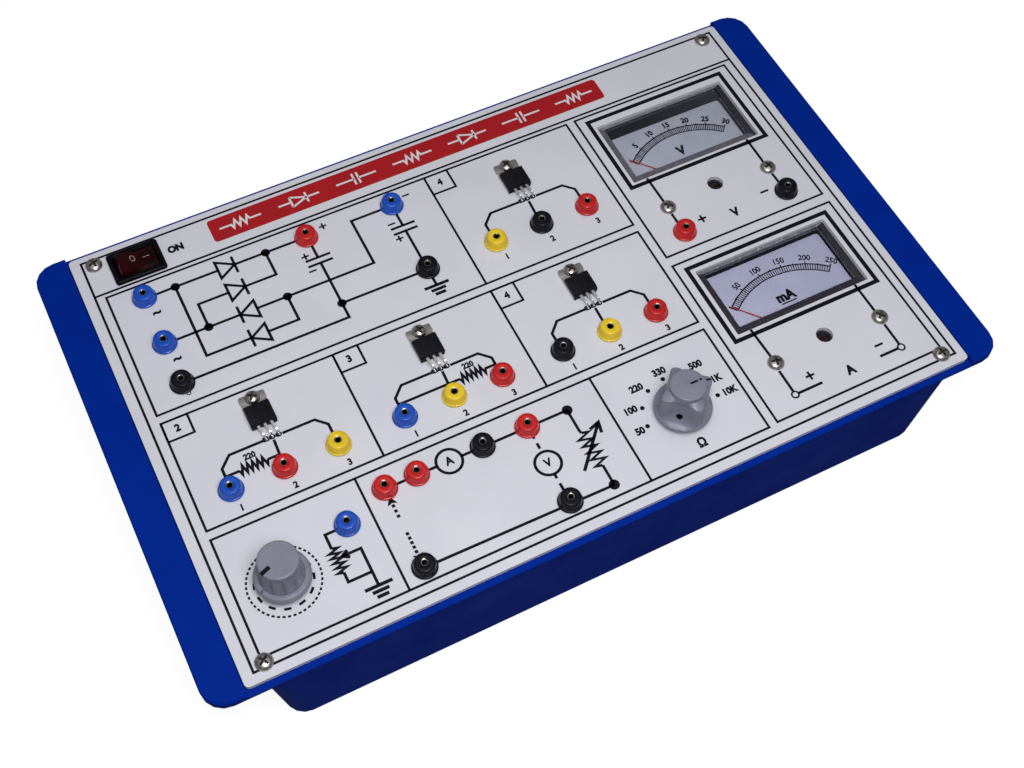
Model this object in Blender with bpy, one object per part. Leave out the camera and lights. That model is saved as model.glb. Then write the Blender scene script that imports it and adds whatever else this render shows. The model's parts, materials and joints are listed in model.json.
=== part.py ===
"""Voltage regulator trainer: a moulded tray under a printed panel of sockets, regulators, knobs and meters.

The part stands on its base with the panel facing up. The origin is the centre of the base, +X runs to
the right of the panel and +Y to its rear. Lengths are metres.
"""
import math

import bmesh
import bpy
from mathutils import Matrix
from mathutils import Vector

# Shared values
GAP = 0.0003
OVERRUN = 0.001
SMOOTH_ANGLE = math.radians(40.0)
QUARTER_STEPS = 4
HEXAGON_SIDES = 6
HOLE_SIDES = 8

# Front panel
PANEL_LENGTH = 0.300
PANEL_WIDTH = 0.1954
PANEL_THICKNESS = 0.002
PANEL_CORNER_RADIUS = 0.0015

# Tray
TRAY_HEIGHT = 0.050
WING_WIDTH = 0.0146
LIP_WIDTH = 0.0026
RIM_CORNER_RADIUS = 0.009
RIM_THICKNESS = 0.0035
RIM_EDGE_ROUND = 0.0006
CHANNEL_CLEARANCE = 0.0006
WING_OVERHANG = 0.0199
LIP_OVERHANG = 0.0008
SIDE_DRAFT = math.radians(7.6)
END_DRAFT = math.radians(1.0)
BODY_CORNER_RADIUS = 0.008
BASE_ROUND = 0.003
FLARE_RADIUS = 0.003
TRAY_WALL = 0.0025
TRAY_FLOOR = 0.0025
SCREW_BOSS_RADIUS = 0.0045
RIB_THICKNESS = 0.0015
RIB_DEPTH = 0.004
RIB_PLACE_SHARES = (-0.35, -0.175, 0.0, 0.175, 0.35)

# Screws
SCREW_RADIUS = 0.0015
SCREW_LENGTH = 0.010
SCREW_HEAD_RADIUS = 0.0034
SCREW_HEAD_EDGE = 0.0008
SCREW_HEAD_HEIGHT = 0.0019
SCREW_CROWN_RADIUS = 0.0016
SCREW_SIDES = 10
PANEL_SCREW_INSET_X = 0.009
PANEL_SCREW_INSET_Y = 0.006
METER_SCREW_LENGTH = 0.006

# Sockets
SOCKET_FLANGE_RADIUS = 0.00475
SOCKET_FLANGE_EDGE = 0.0011
SOCKET_SHOULDER_RADIUS = 0.0044
SOCKET_SHOULDER_HEIGHT = 0.0030
SOCKET_TOP_RADIUS = 0.0034
SOCKET_HEIGHT = 0.0042
SOCKET_BORE_RADIUS = 0.0021
SOCKET_BORE_DEPTH = 0.014
SOCKET_SHANK_RADIUS = 0.0030
SOCKET_SHANK_LENGTH = 0.014
SOCKET_SIDES = 10
SOCKET_PLACE_SHARES = (
    ("input_upper", "blue", 0.073, 0.8475),
    ("input_lower", "blue", 0.073, 0.727),
    ("input_centre", "black", 0.073, 0.626),
    ("rectified_positive", "red", 0.301, 0.8455),
    ("rectified_negative", "blue", 0.427, 0.8445),
    ("rectified_ground", "black", 0.427, 0.664),
    ("regulator_1_left", "yellow", 0.529, 0.664),
    ("regulator_1_middle", "black", 0.598, 0.664),
    ("regulator_1_right", "red", 0.668, 0.664),
    ("regulator_2_left", "blue", 0.0745, 0.3685),
    ("regulator_2_middle", "red", 0.1445, 0.3685),
    ("regulator_2_right", "yellow", 0.216, 0.3685),
    ("regulator_3_left", "blue", 0.306, 0.368),
    ("regulator_3_middle", "yellow", 0.3745, 0.368),
    ("regulator_3_right", "red", 0.4425, 0.368),
    ("regulator_4_left", "black", 0.5295, 0.3675),
    ("regulator_4_middle", "yellow", 0.598, 0.367),
    ("regulator_4_right", "red", 0.6675, 0.367),
    ("variable_resistor", "blue", 0.1825, 0.208),
    ("load_input_positive", "red", 0.2425, 0.245),
    ("ammeter_circuit_left", "red", 0.2855, 0.2455),
    ("ammeter_circuit_right", "black", 0.375, 0.245),
    ("voltmeter_circuit_upper", "red", 0.437, 0.245),
    ("load_input_negative", "black", 0.243, 0.069),
    ("voltmeter_circuit_lower", "black", 0.4375, 0.069),
)

# Regulators in their flat three-legged package
REGULATOR_WIDTH = 0.0102
REGULATOR_TAB_LENGTH = 0.0065
REGULATOR_TAB_THICKNESS = 0.0013
REGULATOR_BODY_LENGTH = 0.0096
REGULATOR_BODY_HEIGHT = 0.0043
REGULATOR_CHAMFER = 0.0009
REGULATOR_SCREW_SETBACK = 0.0138
REGULATOR_SCREW_HEAD_RADIUS = 0.0030
REGULATOR_LEG_WIDTH = 0.0008
REGULATOR_LEG_THICKNESS = 0.0005
REGULATOR_LEG_PITCH = 0.0026
REGULATOR_LEG_HEIGHT = 0.0026
REGULATOR_LEG_REACH = 0.0030
REGULATOR_LEG_BELOW_PANEL = 0.004
REGULATOR_LEG_HOLE_RADIUS = 0.0009
REGULATOR_PLACE_SHARES = (
    ("regulator_1", 0.598, 0.754),
    ("regulator_2", 0.144, 0.4565),
    ("regulator_3", 0.374, 0.4535),
    ("regulator_4", 0.5965, 0.453),
)

# Rocker switch
SWITCH_INSET_X = 0.02475
SWITCH_INSET_Y = 0.0121
SWITCH_BEZEL_LENGTH = 0.0212
SWITCH_BEZEL_WIDTH = 0.0153
SWITCH_BEZEL_HEIGHT = 0.0018
SWITCH_BEZEL_ROUND = 0.0006
SWITCH_BODY_LENGTH = 0.0194
SWITCH_BODY_WIDTH = 0.0136
SWITCH_BODY_DEPTH = 0.012
SWITCH_SNAP_REACH = 0.0010
SWITCH_SNAP_HEIGHT = 0.0040
SWITCH_SNAP_WIDTH = 0.006
SWITCH_BLADE_WIDTH = 0.0048
SWITCH_BLADE_THICKNESS = 0.0008
SWITCH_BLADE_LENGTH = 0.008
SWITCH_BLADE_PITCH = 0.007
ROCKER_RADIUS = 0.0083
ROCKER_WIDTH = 0.0102
ROCKER_THROW = math.radians(10.5)
ROCKER_CREST_ANGLE = math.radians(24.0)
ROCKER_KEEL_ANGLE = math.radians(25.0)
ROCKER_VALLEY_HEIGHT = 0.0019
ROCKER_PIVOT_DEPTH = 0.0023
ROCKER_PIN_RADIUS = 0.001
ROCKER_PIN_LENGTH = 0.0010
ROCKER_POCKET_CLEARANCE = 0.0007

# Potentiometer and its fluted knob
POT_PLACE_SHARES = (0.0875, 0.1565)
POT_CAN_RADIUS = 0.012
POT_CAN_DEPTH = 0.009
POT_BUSH_RADIUS = 0.0035
POT_BUSH_REACH = 0.003
POT_NUT_FLATS = 0.010
POT_NUT_HEIGHT = 0.002
POT_TAG_WIDTH = 0.0022
POT_TAG_THICKNESS = 0.0008
POT_TAG_LENGTH = 0.006
POT_TAG_PITCH = 0.005
SPINDLE_RADIUS = 0.003
SPINDLE_REACH = 0.010
SPINDLE_SIDES = 12
POT_KNOB_LIFT = 0.0006
POT_KNOB_SKIRT_RADIUS = 0.0099
POT_KNOB_SKIRT_HEIGHT = 0.0034
POT_KNOB_SKIRT_ROUND = 0.0009
POT_KNOB_WAIST_RADIUS = 0.0080
POT_KNOB_TOP_RADIUS = 0.0074
POT_KNOB_TOP_ROUND = 0.0005
POT_KNOB_HEIGHT = 0.019
POT_KNOB_FLUTES = 12
POT_KNOB_FLUTE_DEPTH = 0.0006
POT_KNOB_FLUTE_POINTS = 4
POT_KNOB_NOTCH_WIDTH = 0.0030
POT_KNOB_POINTER = math.radians(200.0)

# Selector switch and its lobed knob
SELECTOR_PLACE_SHARES = (0.6235, 0.146)
SELECTOR_POSITIONS = 7
SELECTOR_STEP = math.radians(30.0)
SELECTOR_CAN_RADIUS = 0.013
SELECTOR_CAN_DEPTH = 0.010
SELECTOR_BUSH_RADIUS = 0.0045
SELECTOR_BUSH_REACH = 0.003
SELECTOR_NUT_FLATS = 0.012
SELECTOR_NUT_HEIGHT = 0.002
SELECTOR_TAG_WIDTH = 0.0018
SELECTOR_TAG_THICKNESS = 0.0008
SELECTOR_TAG_LENGTH = 0.0045
SELECTOR_KNOB_LIFT = 0.0006
SELECTOR_SKIRT_RADIUS = 0.0112
SELECTOR_SKIRT_HEIGHT = 0.0022
SELECTOR_LOBES = 4
SELECTOR_LOBE_POINTS = 10
SELECTOR_LOBE_RADIUS = 0.0106
SELECTOR_FLUTE_RADIUS = 0.0070
SELECTOR_CROWN_RADIUS = 0.0066
SELECTOR_LOBE_TOP_SHARE = 0.90
SELECTOR_LOBE_HEIGHT = 0.0165
SELECTOR_CROWN_SEAT = 0.0182
SELECTOR_CROWN_ROUND = 0.0005
SELECTOR_KNOB_HEIGHT = 0.020
SELECTOR_SET_SCREW_RADIUS = 0.0013
SELECTOR_SET_SCREW_HEIGHT = 0.008
SELECTOR_SET_SCREW_DEPTH = 0.002
SELECTOR_SET_SCREW_ANGLE = math.radians(225.0)

# Moving-coil meters, measured from the centre of each window
METER_PLACE_SHARES = (("voltmeter", 0.8495, 0.762), ("ammeter", 0.8495, 0.3335))
METER_CUTOUT_LENGTH = 0.0612
METER_CUTOUT_WIDTH = 0.0334
METER_CUTOUT_RADIUS = 0.0006
METER_CASE_LENGTH = 0.0660
METER_CASE_ABOVE = 0.0180
METER_CASE_BELOW = 0.0420
METER_CASE_RADIUS = 0.003
METER_CASE_DEPTH = 0.012
METER_BARREL_RADIUS = 0.0240
METER_BARREL_DEPTH = 0.020
METER_BARREL_DROP = 0.0115
METER_BARREL_SIDES = 16
METER_STUD_RADIUS = 0.002
METER_STUD_LENGTH = 0.006
METER_STUD_PITCH = 0.024
METER_FACE_THICKNESS = 0.0014
METER_OPENING_LENGTH = 0.0544
METER_OPENING_WIDTH = 0.0248
METER_OPENING_RADIUS = 0.002
METER_POCKET_LENGTH = 0.0600
METER_POCKET_ABOVE = 0.0160
METER_POCKET_BELOW = 0.0200
METER_WELL_LENGTH = 0.018
METER_WELL_CLEARANCE = 0.0008
METER_PIVOT_DROP = 0.0290
METER_ADJUSTER_DROP = 0.0315
METER_ADJUSTER_RADIUS = 0.0024
METER_ADJUSTER_FLANGE = 0.0006
METER_ADJUSTER_HOLE_RADIUS = 0.00345
METER_ADJUSTER_SIDES = 12
METER_ADJUSTER_SLOT = 0.0007
METER_SCREW_SPREAD = 0.0485
METER_SCREW_DROP = 0.0342
METER_SOCKET_SPREAD = 0.0489
METER_SOCKET_DROP = 0.0482
METER_WINDOW_THICKNESS = 0.0010
METER_DIAL_DEPTH = 0.0060
METER_DIAL_THICKNESS = 0.0009
METER_POINTER_DEPTH = 0.0052
METER_POINTER_THICKNESS = 0.0004
METER_POINTER_LENGTH = 0.0360
METER_POINTER_ROOT_WIDTH = 0.0008
METER_POINTER_TIP_WIDTH = 0.0004
METER_POINTER_TAIL = 0.0036
METER_POINTER_ZERO = math.radians(41.0)
METER_HUB_RADIUS = 0.0022
METER_HUB_THICKNESS = 0.0007
METER_POST_RADIUS = 0.0008

# Mains transformer
TRANSFORMER_PLACE_SHARES = (0.190, 0.716)
CORE_LENGTH = 0.041
CORE_HEIGHT = 0.030
CORE_STACK = 0.016
CORE_CHAMFER = 0.0005
COIL_LENGTH = 0.026
COIL_HEIGHT = 0.020
COIL_DEPTH = 0.033
COIL_ROUND = 0.003
STRAP_THICKNESS = 0.001
STRAP_FOOT = 0.008
STRAP_WIDTH = 0.012
STRAP_HOLE_RADIUS = 0.0018

# Rectifier board
BOARD_PLACE_SHARES = (0.500, 0.560)
BOARD_LENGTH = 0.080
BOARD_WIDTH = 0.050
BOARD_THICKNESS = 0.0016
BOARD_LIFT = 0.008
BOARD_HOLE_INSET = 0.004
CAPACITOR_RADIUS = 0.0065
CAPACITOR_HEIGHT = 0.018
CAPACITOR_SIDES = 14
CAPACITOR_PITCH = 0.024
CAPACITOR_COLUMN_SHARE = 0.28
DIODE_RADIUS = 0.0014
DIODE_LENGTH = 0.005
DIODE_LEAD_RADIUS = 0.0004
DIODE_SPAN = 0.010
DIODE_LIFT = 0.0020
DIODE_PITCH = 0.008
DIODE_COLUMN_SHARE = 0.22
DIODE_COUNT = 4
DIODE_SIDES = 8

# Staking pins that hold the transformer and the board to the tray
PIN_RADIUS = 0.0013
PIN_HEAD = 0.0015
PIN_SIDES = 8
POST_RADIUS = 0.003

# Cable bush in the rear wall
BUSH_HEIGHT = 0.022
BUSH_FLANGE_RADIUS = 0.0070
BUSH_FLANGE_THICKNESS = 0.0025
BUSH_NECK_RADIUS = 0.0050
BUSH_BORE_RADIUS = 0.0033
BUSH_SIDES = 16

# Heights and outlines that follow from the sizes above
PANEL_TOP = TRAY_HEIGHT
PANEL_UNDER = PANEL_TOP - PANEL_THICKNESS
CHANNEL_FLOOR = PANEL_UNDER - GAP
RIM_LENGTH = PANEL_LENGTH + 2.0 * WING_WIDTH
RIM_WIDTH = PANEL_WIDTH + 2.0 * LIP_WIDTH
RIM_UNDER = TRAY_HEIGHT - RIM_THICKNESS
SCREW_HOLE_RADIUS = SCREW_RADIUS + GAP
METER_FACE_TOP = -PANEL_THICKNESS - GAP
METER_FLANGE_RADIUS = METER_ADJUSTER_RADIUS + 2.0 * GAP + METER_ADJUSTER_SLOT
METER_WELL_BELOW = METER_ADJUSTER_DROP + METER_FLANGE_RADIUS + METER_WELL_CLEARANCE
BOARD_UNDER = TRAY_FLOOR + BOARD_LIFT + GAP

FINISHES = {
    "tray_blue": ((0.012, 0.045, 0.290), 0.42, 0.0),
    "panel_white": ((0.660, 0.670, 0.720), 0.45, 0.0),
    "nickel": ((0.560, 0.540, 0.510), 0.30, 1.0),
    "blue": ((0.020, 0.080, 0.450), 0.30, 0.0),
    "red": ((0.480, 0.020, 0.018), 0.30, 0.0),
    "yellow": ((0.700, 0.430, 0.040), 0.30, 0.0),
    "black": ((0.012, 0.012, 0.014), 0.35, 0.0),
    "package_black": ((0.020, 0.020, 0.022), 0.55, 0.0),
    "switch_black": ((0.015, 0.013, 0.014), 0.28, 0.0),
    "rocker_red": ((0.230, 0.010, 0.012), 0.20, 0.0),
    "knob_grey": ((0.170, 0.170, 0.220), 0.48, 0.0),
    "plated_steel": ((0.500, 0.500, 0.520), 0.35, 1.0),
    "meter_black": ((0.022, 0.018, 0.026), 0.40, 0.0),
    "dial_grey": ((0.480, 0.480, 0.560), 0.55, 0.0),
    "pointer_red": ((0.600, 0.030, 0.020), 0.45, 0.0),
    "clear_acrylic": ((0.850, 0.870, 0.900), 0.05, 0.0),
    "iron_core": ((0.120, 0.115, 0.110), 0.50, 1.0),
    "board_green": ((0.030, 0.120, 0.050), 0.50, 0.0),
}


def clear_scene():
    """Remove every object that the new file opened with."""
    for item in list(bpy.data.objects):
        bpy.data.objects.remove(item, do_unlink=True)


def finish(name):
    """Return the named finish as a Principled material, made on first use."""
    if name in bpy.data.materials:
        return bpy.data.materials[name]
    colour, roughness, metallic = FINISHES[name]
    material = bpy.data.materials.new(name)
    material.use_nodes = True
    shader = material.node_tree.nodes["Principled BSDF"]
    shader.inputs["Base Color"].default_value = (*colour, 1.0)
    shader.inputs["Roughness"].default_value = roughness
    shader.inputs["Metallic"].default_value = metallic
    return material


def panel_place(column_share, row_share):
    """Turn shares of the panel, from its front left corner, into a place on it."""
    return ((column_share - 0.5) * PANEL_LENGTH, (row_share - 0.5) * PANEL_WIDTH)


# Outlines, each a list of (x, y) points that runs anticlockwise


def circle(radius, sides):
    """Return the corners of a regular polygon."""
    turn = math.tau / sides
    return [(radius * math.cos(turn * k), radius * math.sin(turn * k)) for k in range(sides)]


def hole(radius, x=0.0, y=0.0):
    """Return a plain hole's outline, whose flats just touch a circle of the given radius."""
    return moved(circle(radius / math.cos(math.pi / HOLE_SIDES), HOLE_SIDES), x, y)


def hexagon(flats):
    """Return a hexagon with the given distance across its flats."""
    return circle(flats / 2.0 / math.cos(math.pi / HEXAGON_SIDES), HEXAGON_SIDES)


def rounded(length, width, radius, steps=QUARTER_STEPS):
    """Return a rectangle with its corners rounded."""
    points = []
    for corner, (sign_x, sign_y) in enumerate(((1, 1), (-1, 1), (-1, -1), (1, -1))):
        centre_x = sign_x * (length / 2.0 - radius)
        centre_y = sign_y * (width / 2.0 - radius)
        for step in range(steps + 1):
            angle = (corner + step / steps) * math.pi / 2.0
            points.append((centre_x + radius * math.cos(angle), centre_y + radius * math.sin(angle)))
    return points


def rounded_inside(length, width, radius, inset, steps=QUARTER_STEPS):
    """Return a rounded rectangle drawn in by an inset all round."""
    return rounded(length - 2.0 * inset, width - 2.0 * inset, radius - inset, steps)


def fluted(radius, depth, count, points_per_flute):
    """Return a circle with shallow scoops pressed into it, one for each flute."""
    total = count * points_per_flute
    outline = []
    for k in range(total):
        angle = math.tau * k / total
        scoop = abs(math.sin(count * angle / 2.0))
        reach = radius - depth * scoop
        outline.append((reach * math.cos(angle), reach * math.sin(angle)))
    return outline


def lobed(lobe_radius, flute_radius, count, points_per_lobe):
    """Return an outline of rounded lobes with hollow flutes between them, the first lobe on +X."""
    total = count * points_per_lobe
    outline = []
    for k in range(total):
        angle = math.tau * k / total
        swell = (1.0 + math.cos(count * angle)) / 2.0
        reach = flute_radius + (lobe_radius - flute_radius) * swell
        outline.append((reach * math.cos(angle), reach * math.sin(angle)))
    return outline


def moved(outline, x, y):
    """Shift an outline."""
    return [(px + x, py + y) for px, py in outline]


# Solids


def add_object(name, mesh, finish_name, place=(0.0, 0.0, 0.0)):
    """Put a mesh in the scene under a name, with its finish and its place."""
    item = bpy.data.objects.new(name, mesh)
    bpy.context.scene.collection.objects.link(item)
    item.location = place
    mesh.materials.clear()
    mesh.materials.append(finish(finish_name))
    return item


def smooth(item):
    """Shade a piece smooth across its gentle edges."""
    item.data.shade_smooth()
    item.data.set_sharp_from_angle(angle=SMOOTH_ANGLE)
    return item


def skin_rings(model, rings):
    """Bridge rings of equal count with quads and close both ends of the run."""
    rows = [[model.verts.new(point) for point in ring] for ring in rings]
    count = len(rows[0])
    for lower, upper in zip(rows, rows[1:]):
        for k in range(count):
            following = (k + 1) % count
            model.faces.new((lower[k], lower[following], upper[following], upper[k]))
    model.faces.new(list(reversed(rows[0])))
    model.faces.new(rows[-1])


def loft_many(name, finish_name, runs, place=(0.0, 0.0, 0.0)):
    """Make one object of one or more lofted runs, each a list of (outline, height)."""
    model = bmesh.new()
    for run in runs:
        skin_rings(model, [[Vector((x, y, z)) for x, y in outline] for outline, z in run])
    mesh = bpy.data.meshes.new(name)
    model.to_mesh(mesh)
    model.free()
    return add_object(name, mesh, finish_name, place)


def loft(name, finish_name, run, place=(0.0, 0.0, 0.0)):
    """Make one lofted solid that stands along Z."""
    return loft_many(name, finish_name, [run], place)


def extruded(name, finish_name, outline, half_width, place=(0.0, 0.0, 0.0)):
    """Make a solid of an (x, z) outline, anticlockwise seen from -Y, extruded both ways along Y."""
    model = bmesh.new()
    skin_rings(model, [[Vector((x, y, z)) for x, z in outline] for y in (half_width, -half_width)])
    mesh = bpy.data.meshes.new(name)
    model.to_mesh(mesh)
    model.free()
    return add_object(name, mesh, finish_name, place)


def turned(name, finish_name, profile, sides, place=(0.0, 0.0, 0.0)):
    """Make a solid of revolution from (radius, height) points, run from its low cap to its other cap."""
    return loft(name, finish_name, [(circle(radius, sides), z) for radius, z in profile], place)


def ring_solid(name, finish_name, profile, sides, place=(0.0, 0.0, 0.0)):
    """Make a ring by turning a closed (radius, height) profile, which runs anticlockwise seen from -Y."""
    model = bmesh.new()
    rows = [[model.verts.new((x, y, z)) for x, y in circle(radius, sides)] for radius, z in profile]
    for lower, upper in zip(rows, rows[1:] + rows[:1]):
        for k in range(sides):
            following = (k + 1) % sides
            model.faces.new((lower[k], lower[following], upper[following], upper[k]))
    mesh = bpy.data.meshes.new(name)
    model.to_mesh(mesh)
    model.free()
    return add_object(name, mesh, finish_name, place)


def prism(outline, low, high):
    """Return the loft run of a straight prism."""
    return [(outline, low), (outline, high)]


def block(length, width, low, high, x=0.0, y=0.0):
    """Return the loft run of a plain block."""
    half_length = length / 2.0
    half_width = width / 2.0
    outline = [(-half_length, -half_width), (half_length, -half_width)]
    outline += [(half_length, half_width), (-half_length, half_width)]
    return prism(moved(outline, x, y), low, high)


def turn_mesh(item, angle, axis):
    """Turn a piece's mesh about an axis through its own origin."""
    item.data.transform(Matrix.Rotation(angle, 4, axis))
    return item


def shift_mesh(item, x, y, z):
    """Shift a piece's mesh inside the piece."""
    item.data.transform(Matrix.Translation((x, y, z)))
    return item


def at(item, x, y, z):
    """Place a tool."""
    item.location = (x, y, z)
    return item


def combine(target, tool, operation):
    """Apply an exact Boolean of two pieces to the first, and drop the second."""
    step = target.modifiers.new(operation, "BOOLEAN")
    step.object = tool
    step.operation = operation
    step.solver = "EXACT"
    bpy.context.view_layer.update()
    graph = bpy.context.evaluated_depsgraph_get()
    result = bpy.data.meshes.new_from_object(target.evaluated_get(graph))
    target.modifiers.clear()
    target.data = result
    bpy.data.objects.remove(tool, do_unlink=True)
    return target


def cut(target, tool):
    """Cut a tool's shape out of a piece."""
    return combine(target, tool, "DIFFERENCE")


def fuse(target, tool):
    """Join a tool's shape to a piece."""
    return combine(target, tool, "UNION")


# Places that several pieces share


def panel_screw_places():
    """Return the four corner screws' names and places."""
    reach_x = PANEL_LENGTH / 2.0 - PANEL_SCREW_INSET_X
    reach_y = PANEL_WIDTH / 2.0 - PANEL_SCREW_INSET_Y
    places = []
    for row, sign_y in (("rear", 1), ("front", -1)):
        for side, sign_x in (("left", -1), ("right", 1)):
            places.append((f"panel_screw_{row}_{side}", sign_x * reach_x, sign_y * reach_y))
    return places


def meter_centres():
    """Return each meter's name and the centre of its window."""
    return [(name, *panel_place(column, row)) for name, column, row in METER_PLACE_SHARES]


def meter_screw_places():
    """Return the meters' screws, two to a meter."""
    places = []
    for name, x, y in meter_centres():
        for side, sign in (("left", -1), ("right", 1)):
            reach = sign * METER_SCREW_SPREAD / 2.0
            places.append((f"{name}_screw_{side}", x + reach, y - METER_SCREW_DROP))
    return places


def switch_place():
    """Return the rocker switch's place, set from the panel's rear left corner."""
    return (SWITCH_INSET_X - PANEL_LENGTH / 2.0, PANEL_WIDTH / 2.0 - SWITCH_INSET_Y)


def socket_places():
    """Return each socket's name, colour and place: those of the circuits, then those of the voltmeter."""
    places = [(name, colour, *panel_place(column, row)) for name, colour, column, row in SOCKET_PLACE_SHARES]
    x, y = meter_centres()[0][1:]
    for name, colour, sign in (("voltmeter_positive", "red", -1), ("voltmeter_negative", "black", 1)):
        places.append((name, colour, x + sign * METER_SOCKET_SPREAD / 2.0, y - METER_SOCKET_DROP))
    return places


def board_pin_places():
    """Return the four staking pins of the rectifier board."""
    x, y = panel_place(*BOARD_PLACE_SHARES)
    reach_x = BOARD_LENGTH / 2.0 - BOARD_HOLE_INSET
    reach_y = BOARD_WIDTH / 2.0 - BOARD_HOLE_INSET
    return [(x + i * reach_x, y + j * reach_y) for i in (-1, 1) for j in (-1, 1)]


def transformer_pin_places():
    """Return the two staking pins of the transformer's feet."""
    x, y = panel_place(*TRANSFORMER_PLACE_SHARES)
    reach = CORE_LENGTH / 2.0 + STRAP_THICKNESS + STRAP_FOOT / 2.0
    return [(x - reach, y), (x + reach, y)]


def leg_places(x, y):
    """Return where a regulator's three legs go through the panel."""
    return [(x + k * REGULATOR_LEG_PITCH, y - REGULATOR_LEG_REACH) for k in (-1, 0, 1)]


# Tray


def body_outline(height, inset=0.0):
    """Return the tray body's outline at a height, drawn in by its drafts and by an inset."""
    drop = RIM_UNDER - height
    length = RIM_LENGTH - 2.0 * (WING_OVERHANG + drop * math.tan(SIDE_DRAFT) + inset)
    width = RIM_WIDTH - 2.0 * (LIP_OVERHANG + drop * math.tan(END_DRAFT) + inset)
    return rounded(length, width, BODY_CORNER_RADIUS - inset)


def tray_shell():
    """Loft the tray's outside: rounded base, drafted walls, flared neck and wide rim."""
    run = []
    for step in range(3):
        angle = step * math.pi / 4.0
        height = BASE_ROUND * (1.0 - math.cos(angle))
        run.append((body_outline(height, BASE_ROUND * (1.0 - math.sin(angle))), height))
    run.append((body_outline(RIM_UNDER - FLARE_RADIUS), RIM_UNDER - FLARE_RADIUS))
    neck_width = RIM_WIDTH - 2.0 * LIP_OVERHANG
    for step in (1, 2):
        angle = step * math.pi / 4.0
        flare = FLARE_RADIUS * (1.0 - math.cos(angle))
        height = RIM_UNDER - FLARE_RADIUS * (1.0 - math.sin(angle))
        length = RIM_LENGTH - 2.0 * (WING_OVERHANG - flare)
        run.append((rounded(length, neck_width, BODY_CORNER_RADIUS), height))
    rim = rounded(RIM_LENGTH, RIM_WIDTH, RIM_CORNER_RADIUS)
    rim_crown = rounded_inside(RIM_LENGTH, RIM_WIDTH, RIM_CORNER_RADIUS, RIM_EDGE_ROUND)
    run.append((rim, RIM_UNDER))
    run.append((rim, TRAY_HEIGHT - RIM_EDGE_ROUND))
    run.append((rim_crown, TRAY_HEIGHT))
    return loft("tray", "tray_blue", run)


def tray_ribs():
    """Return the runs of the ribs that carry the panel's long edges."""
    runs = []
    for share in RIB_PLACE_SHARES:
        for sign in (-1, 1):
            reach = sign * (RIM_WIDTH / 2.0 - LIP_OVERHANG - TRAY_WALL - RIB_DEPTH / 2.0)
            width = RIB_DEPTH + 2.0 * TRAY_WALL
            runs.append(block(RIB_THICKNESS, width, 0.0, TRAY_HEIGHT, share * PANEL_LENGTH, reach))
    return runs


def tray_cavity():
    """Make the hollow of the tray, with the bosses, ribs, posts and pins left standing in it."""
    low = TRAY_FLOOR
    neck = RIM_UNDER - FLARE_RADIUS
    run = [(body_outline(low, TRAY_WALL), low), (body_outline(neck, TRAY_WALL), neck)]
    run.append((body_outline(RIM_UNDER, TRAY_WALL), TRAY_HEIGHT + OVERRUN))
    cavity = loft("tray_cavity", "tray_blue", run)
    bosses = [prism(moved(circle(SCREW_BOSS_RADIUS, SCREW_SIDES), x, y), 0.0, TRAY_HEIGHT + 2.0 * OVERRUN)
              for _, x, y in panel_screw_places()]
    cut(cavity, loft_many("tray_bosses", "tray_blue", bosses))
    cut(cavity, loft_many("tray_ribs", "tray_blue", tray_ribs()))
    standing = []
    board_top = BOARD_UNDER + BOARD_THICKNESS
    for x, y in board_pin_places():
        post = moved(circle(POST_RADIUS, PIN_SIDES), x, y)
        pin = moved(circle(PIN_RADIUS, PIN_SIDES), x, y)
        seat = BOARD_UNDER - GAP
        standing.append([(post, 0.0), (post, seat), (pin, seat), (pin, board_top + PIN_HEAD)])
    strap_top = TRAY_FLOOR + GAP + STRAP_THICKNESS
    for x, y in transformer_pin_places():
        standing.append(prism(moved(circle(PIN_RADIUS, PIN_SIDES), x, y), 0.0, strap_top + PIN_HEAD))
    return cut(cavity, loft_many("tray_posts", "tray_blue", standing))


def make_tray():
    """Make the tray: shell, hollow, panel channel, screw holes and the hole for the cable bush."""
    tray = cut(tray_shell(), tray_cavity())
    channel_length = PANEL_LENGTH + 2.0 * CHANNEL_CLEARANCE
    channel_width = RIM_WIDTH + 2.0 * OVERRUN
    channel = block(channel_length, channel_width, CHANNEL_FLOOR, TRAY_HEIGHT + 3.0 * OVERRUN)
    cut(tray, loft("channel", "tray_blue", channel))
    holes = []
    for _, x, y in panel_screw_places():
        holes.append(prism(hole(SCREW_HOLE_RADIUS, x, y), PANEL_TOP - SCREW_LENGTH - OVERRUN, TRAY_HEIGHT))
    cut(tray, loft_many("screw_holes", "tray_blue", holes))
    x, _ = panel_place(*TRANSFORMER_PLACE_SHARES)
    reach = TRAY_WALL + 2.0 * OVERRUN
    drill = loft("bush_hole", "tray_blue", prism(circle(BUSH_NECK_RADIUS + GAP, BUSH_SIDES), -reach, reach))
    turn_mesh(drill, -math.pi / 2.0, "X")
    shift_mesh(drill, x, rear_wall_face(BUSH_HEIGHT) - TRAY_WALL / 2.0, BUSH_HEIGHT)
    return smooth(cut(tray, drill))


def rear_wall_face(height):
    """Return how far back the rear wall's outer face lies at a height."""
    return RIM_WIDTH / 2.0 - LIP_OVERHANG - (RIM_UNDER - height) * math.tan(END_DRAFT)


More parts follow.
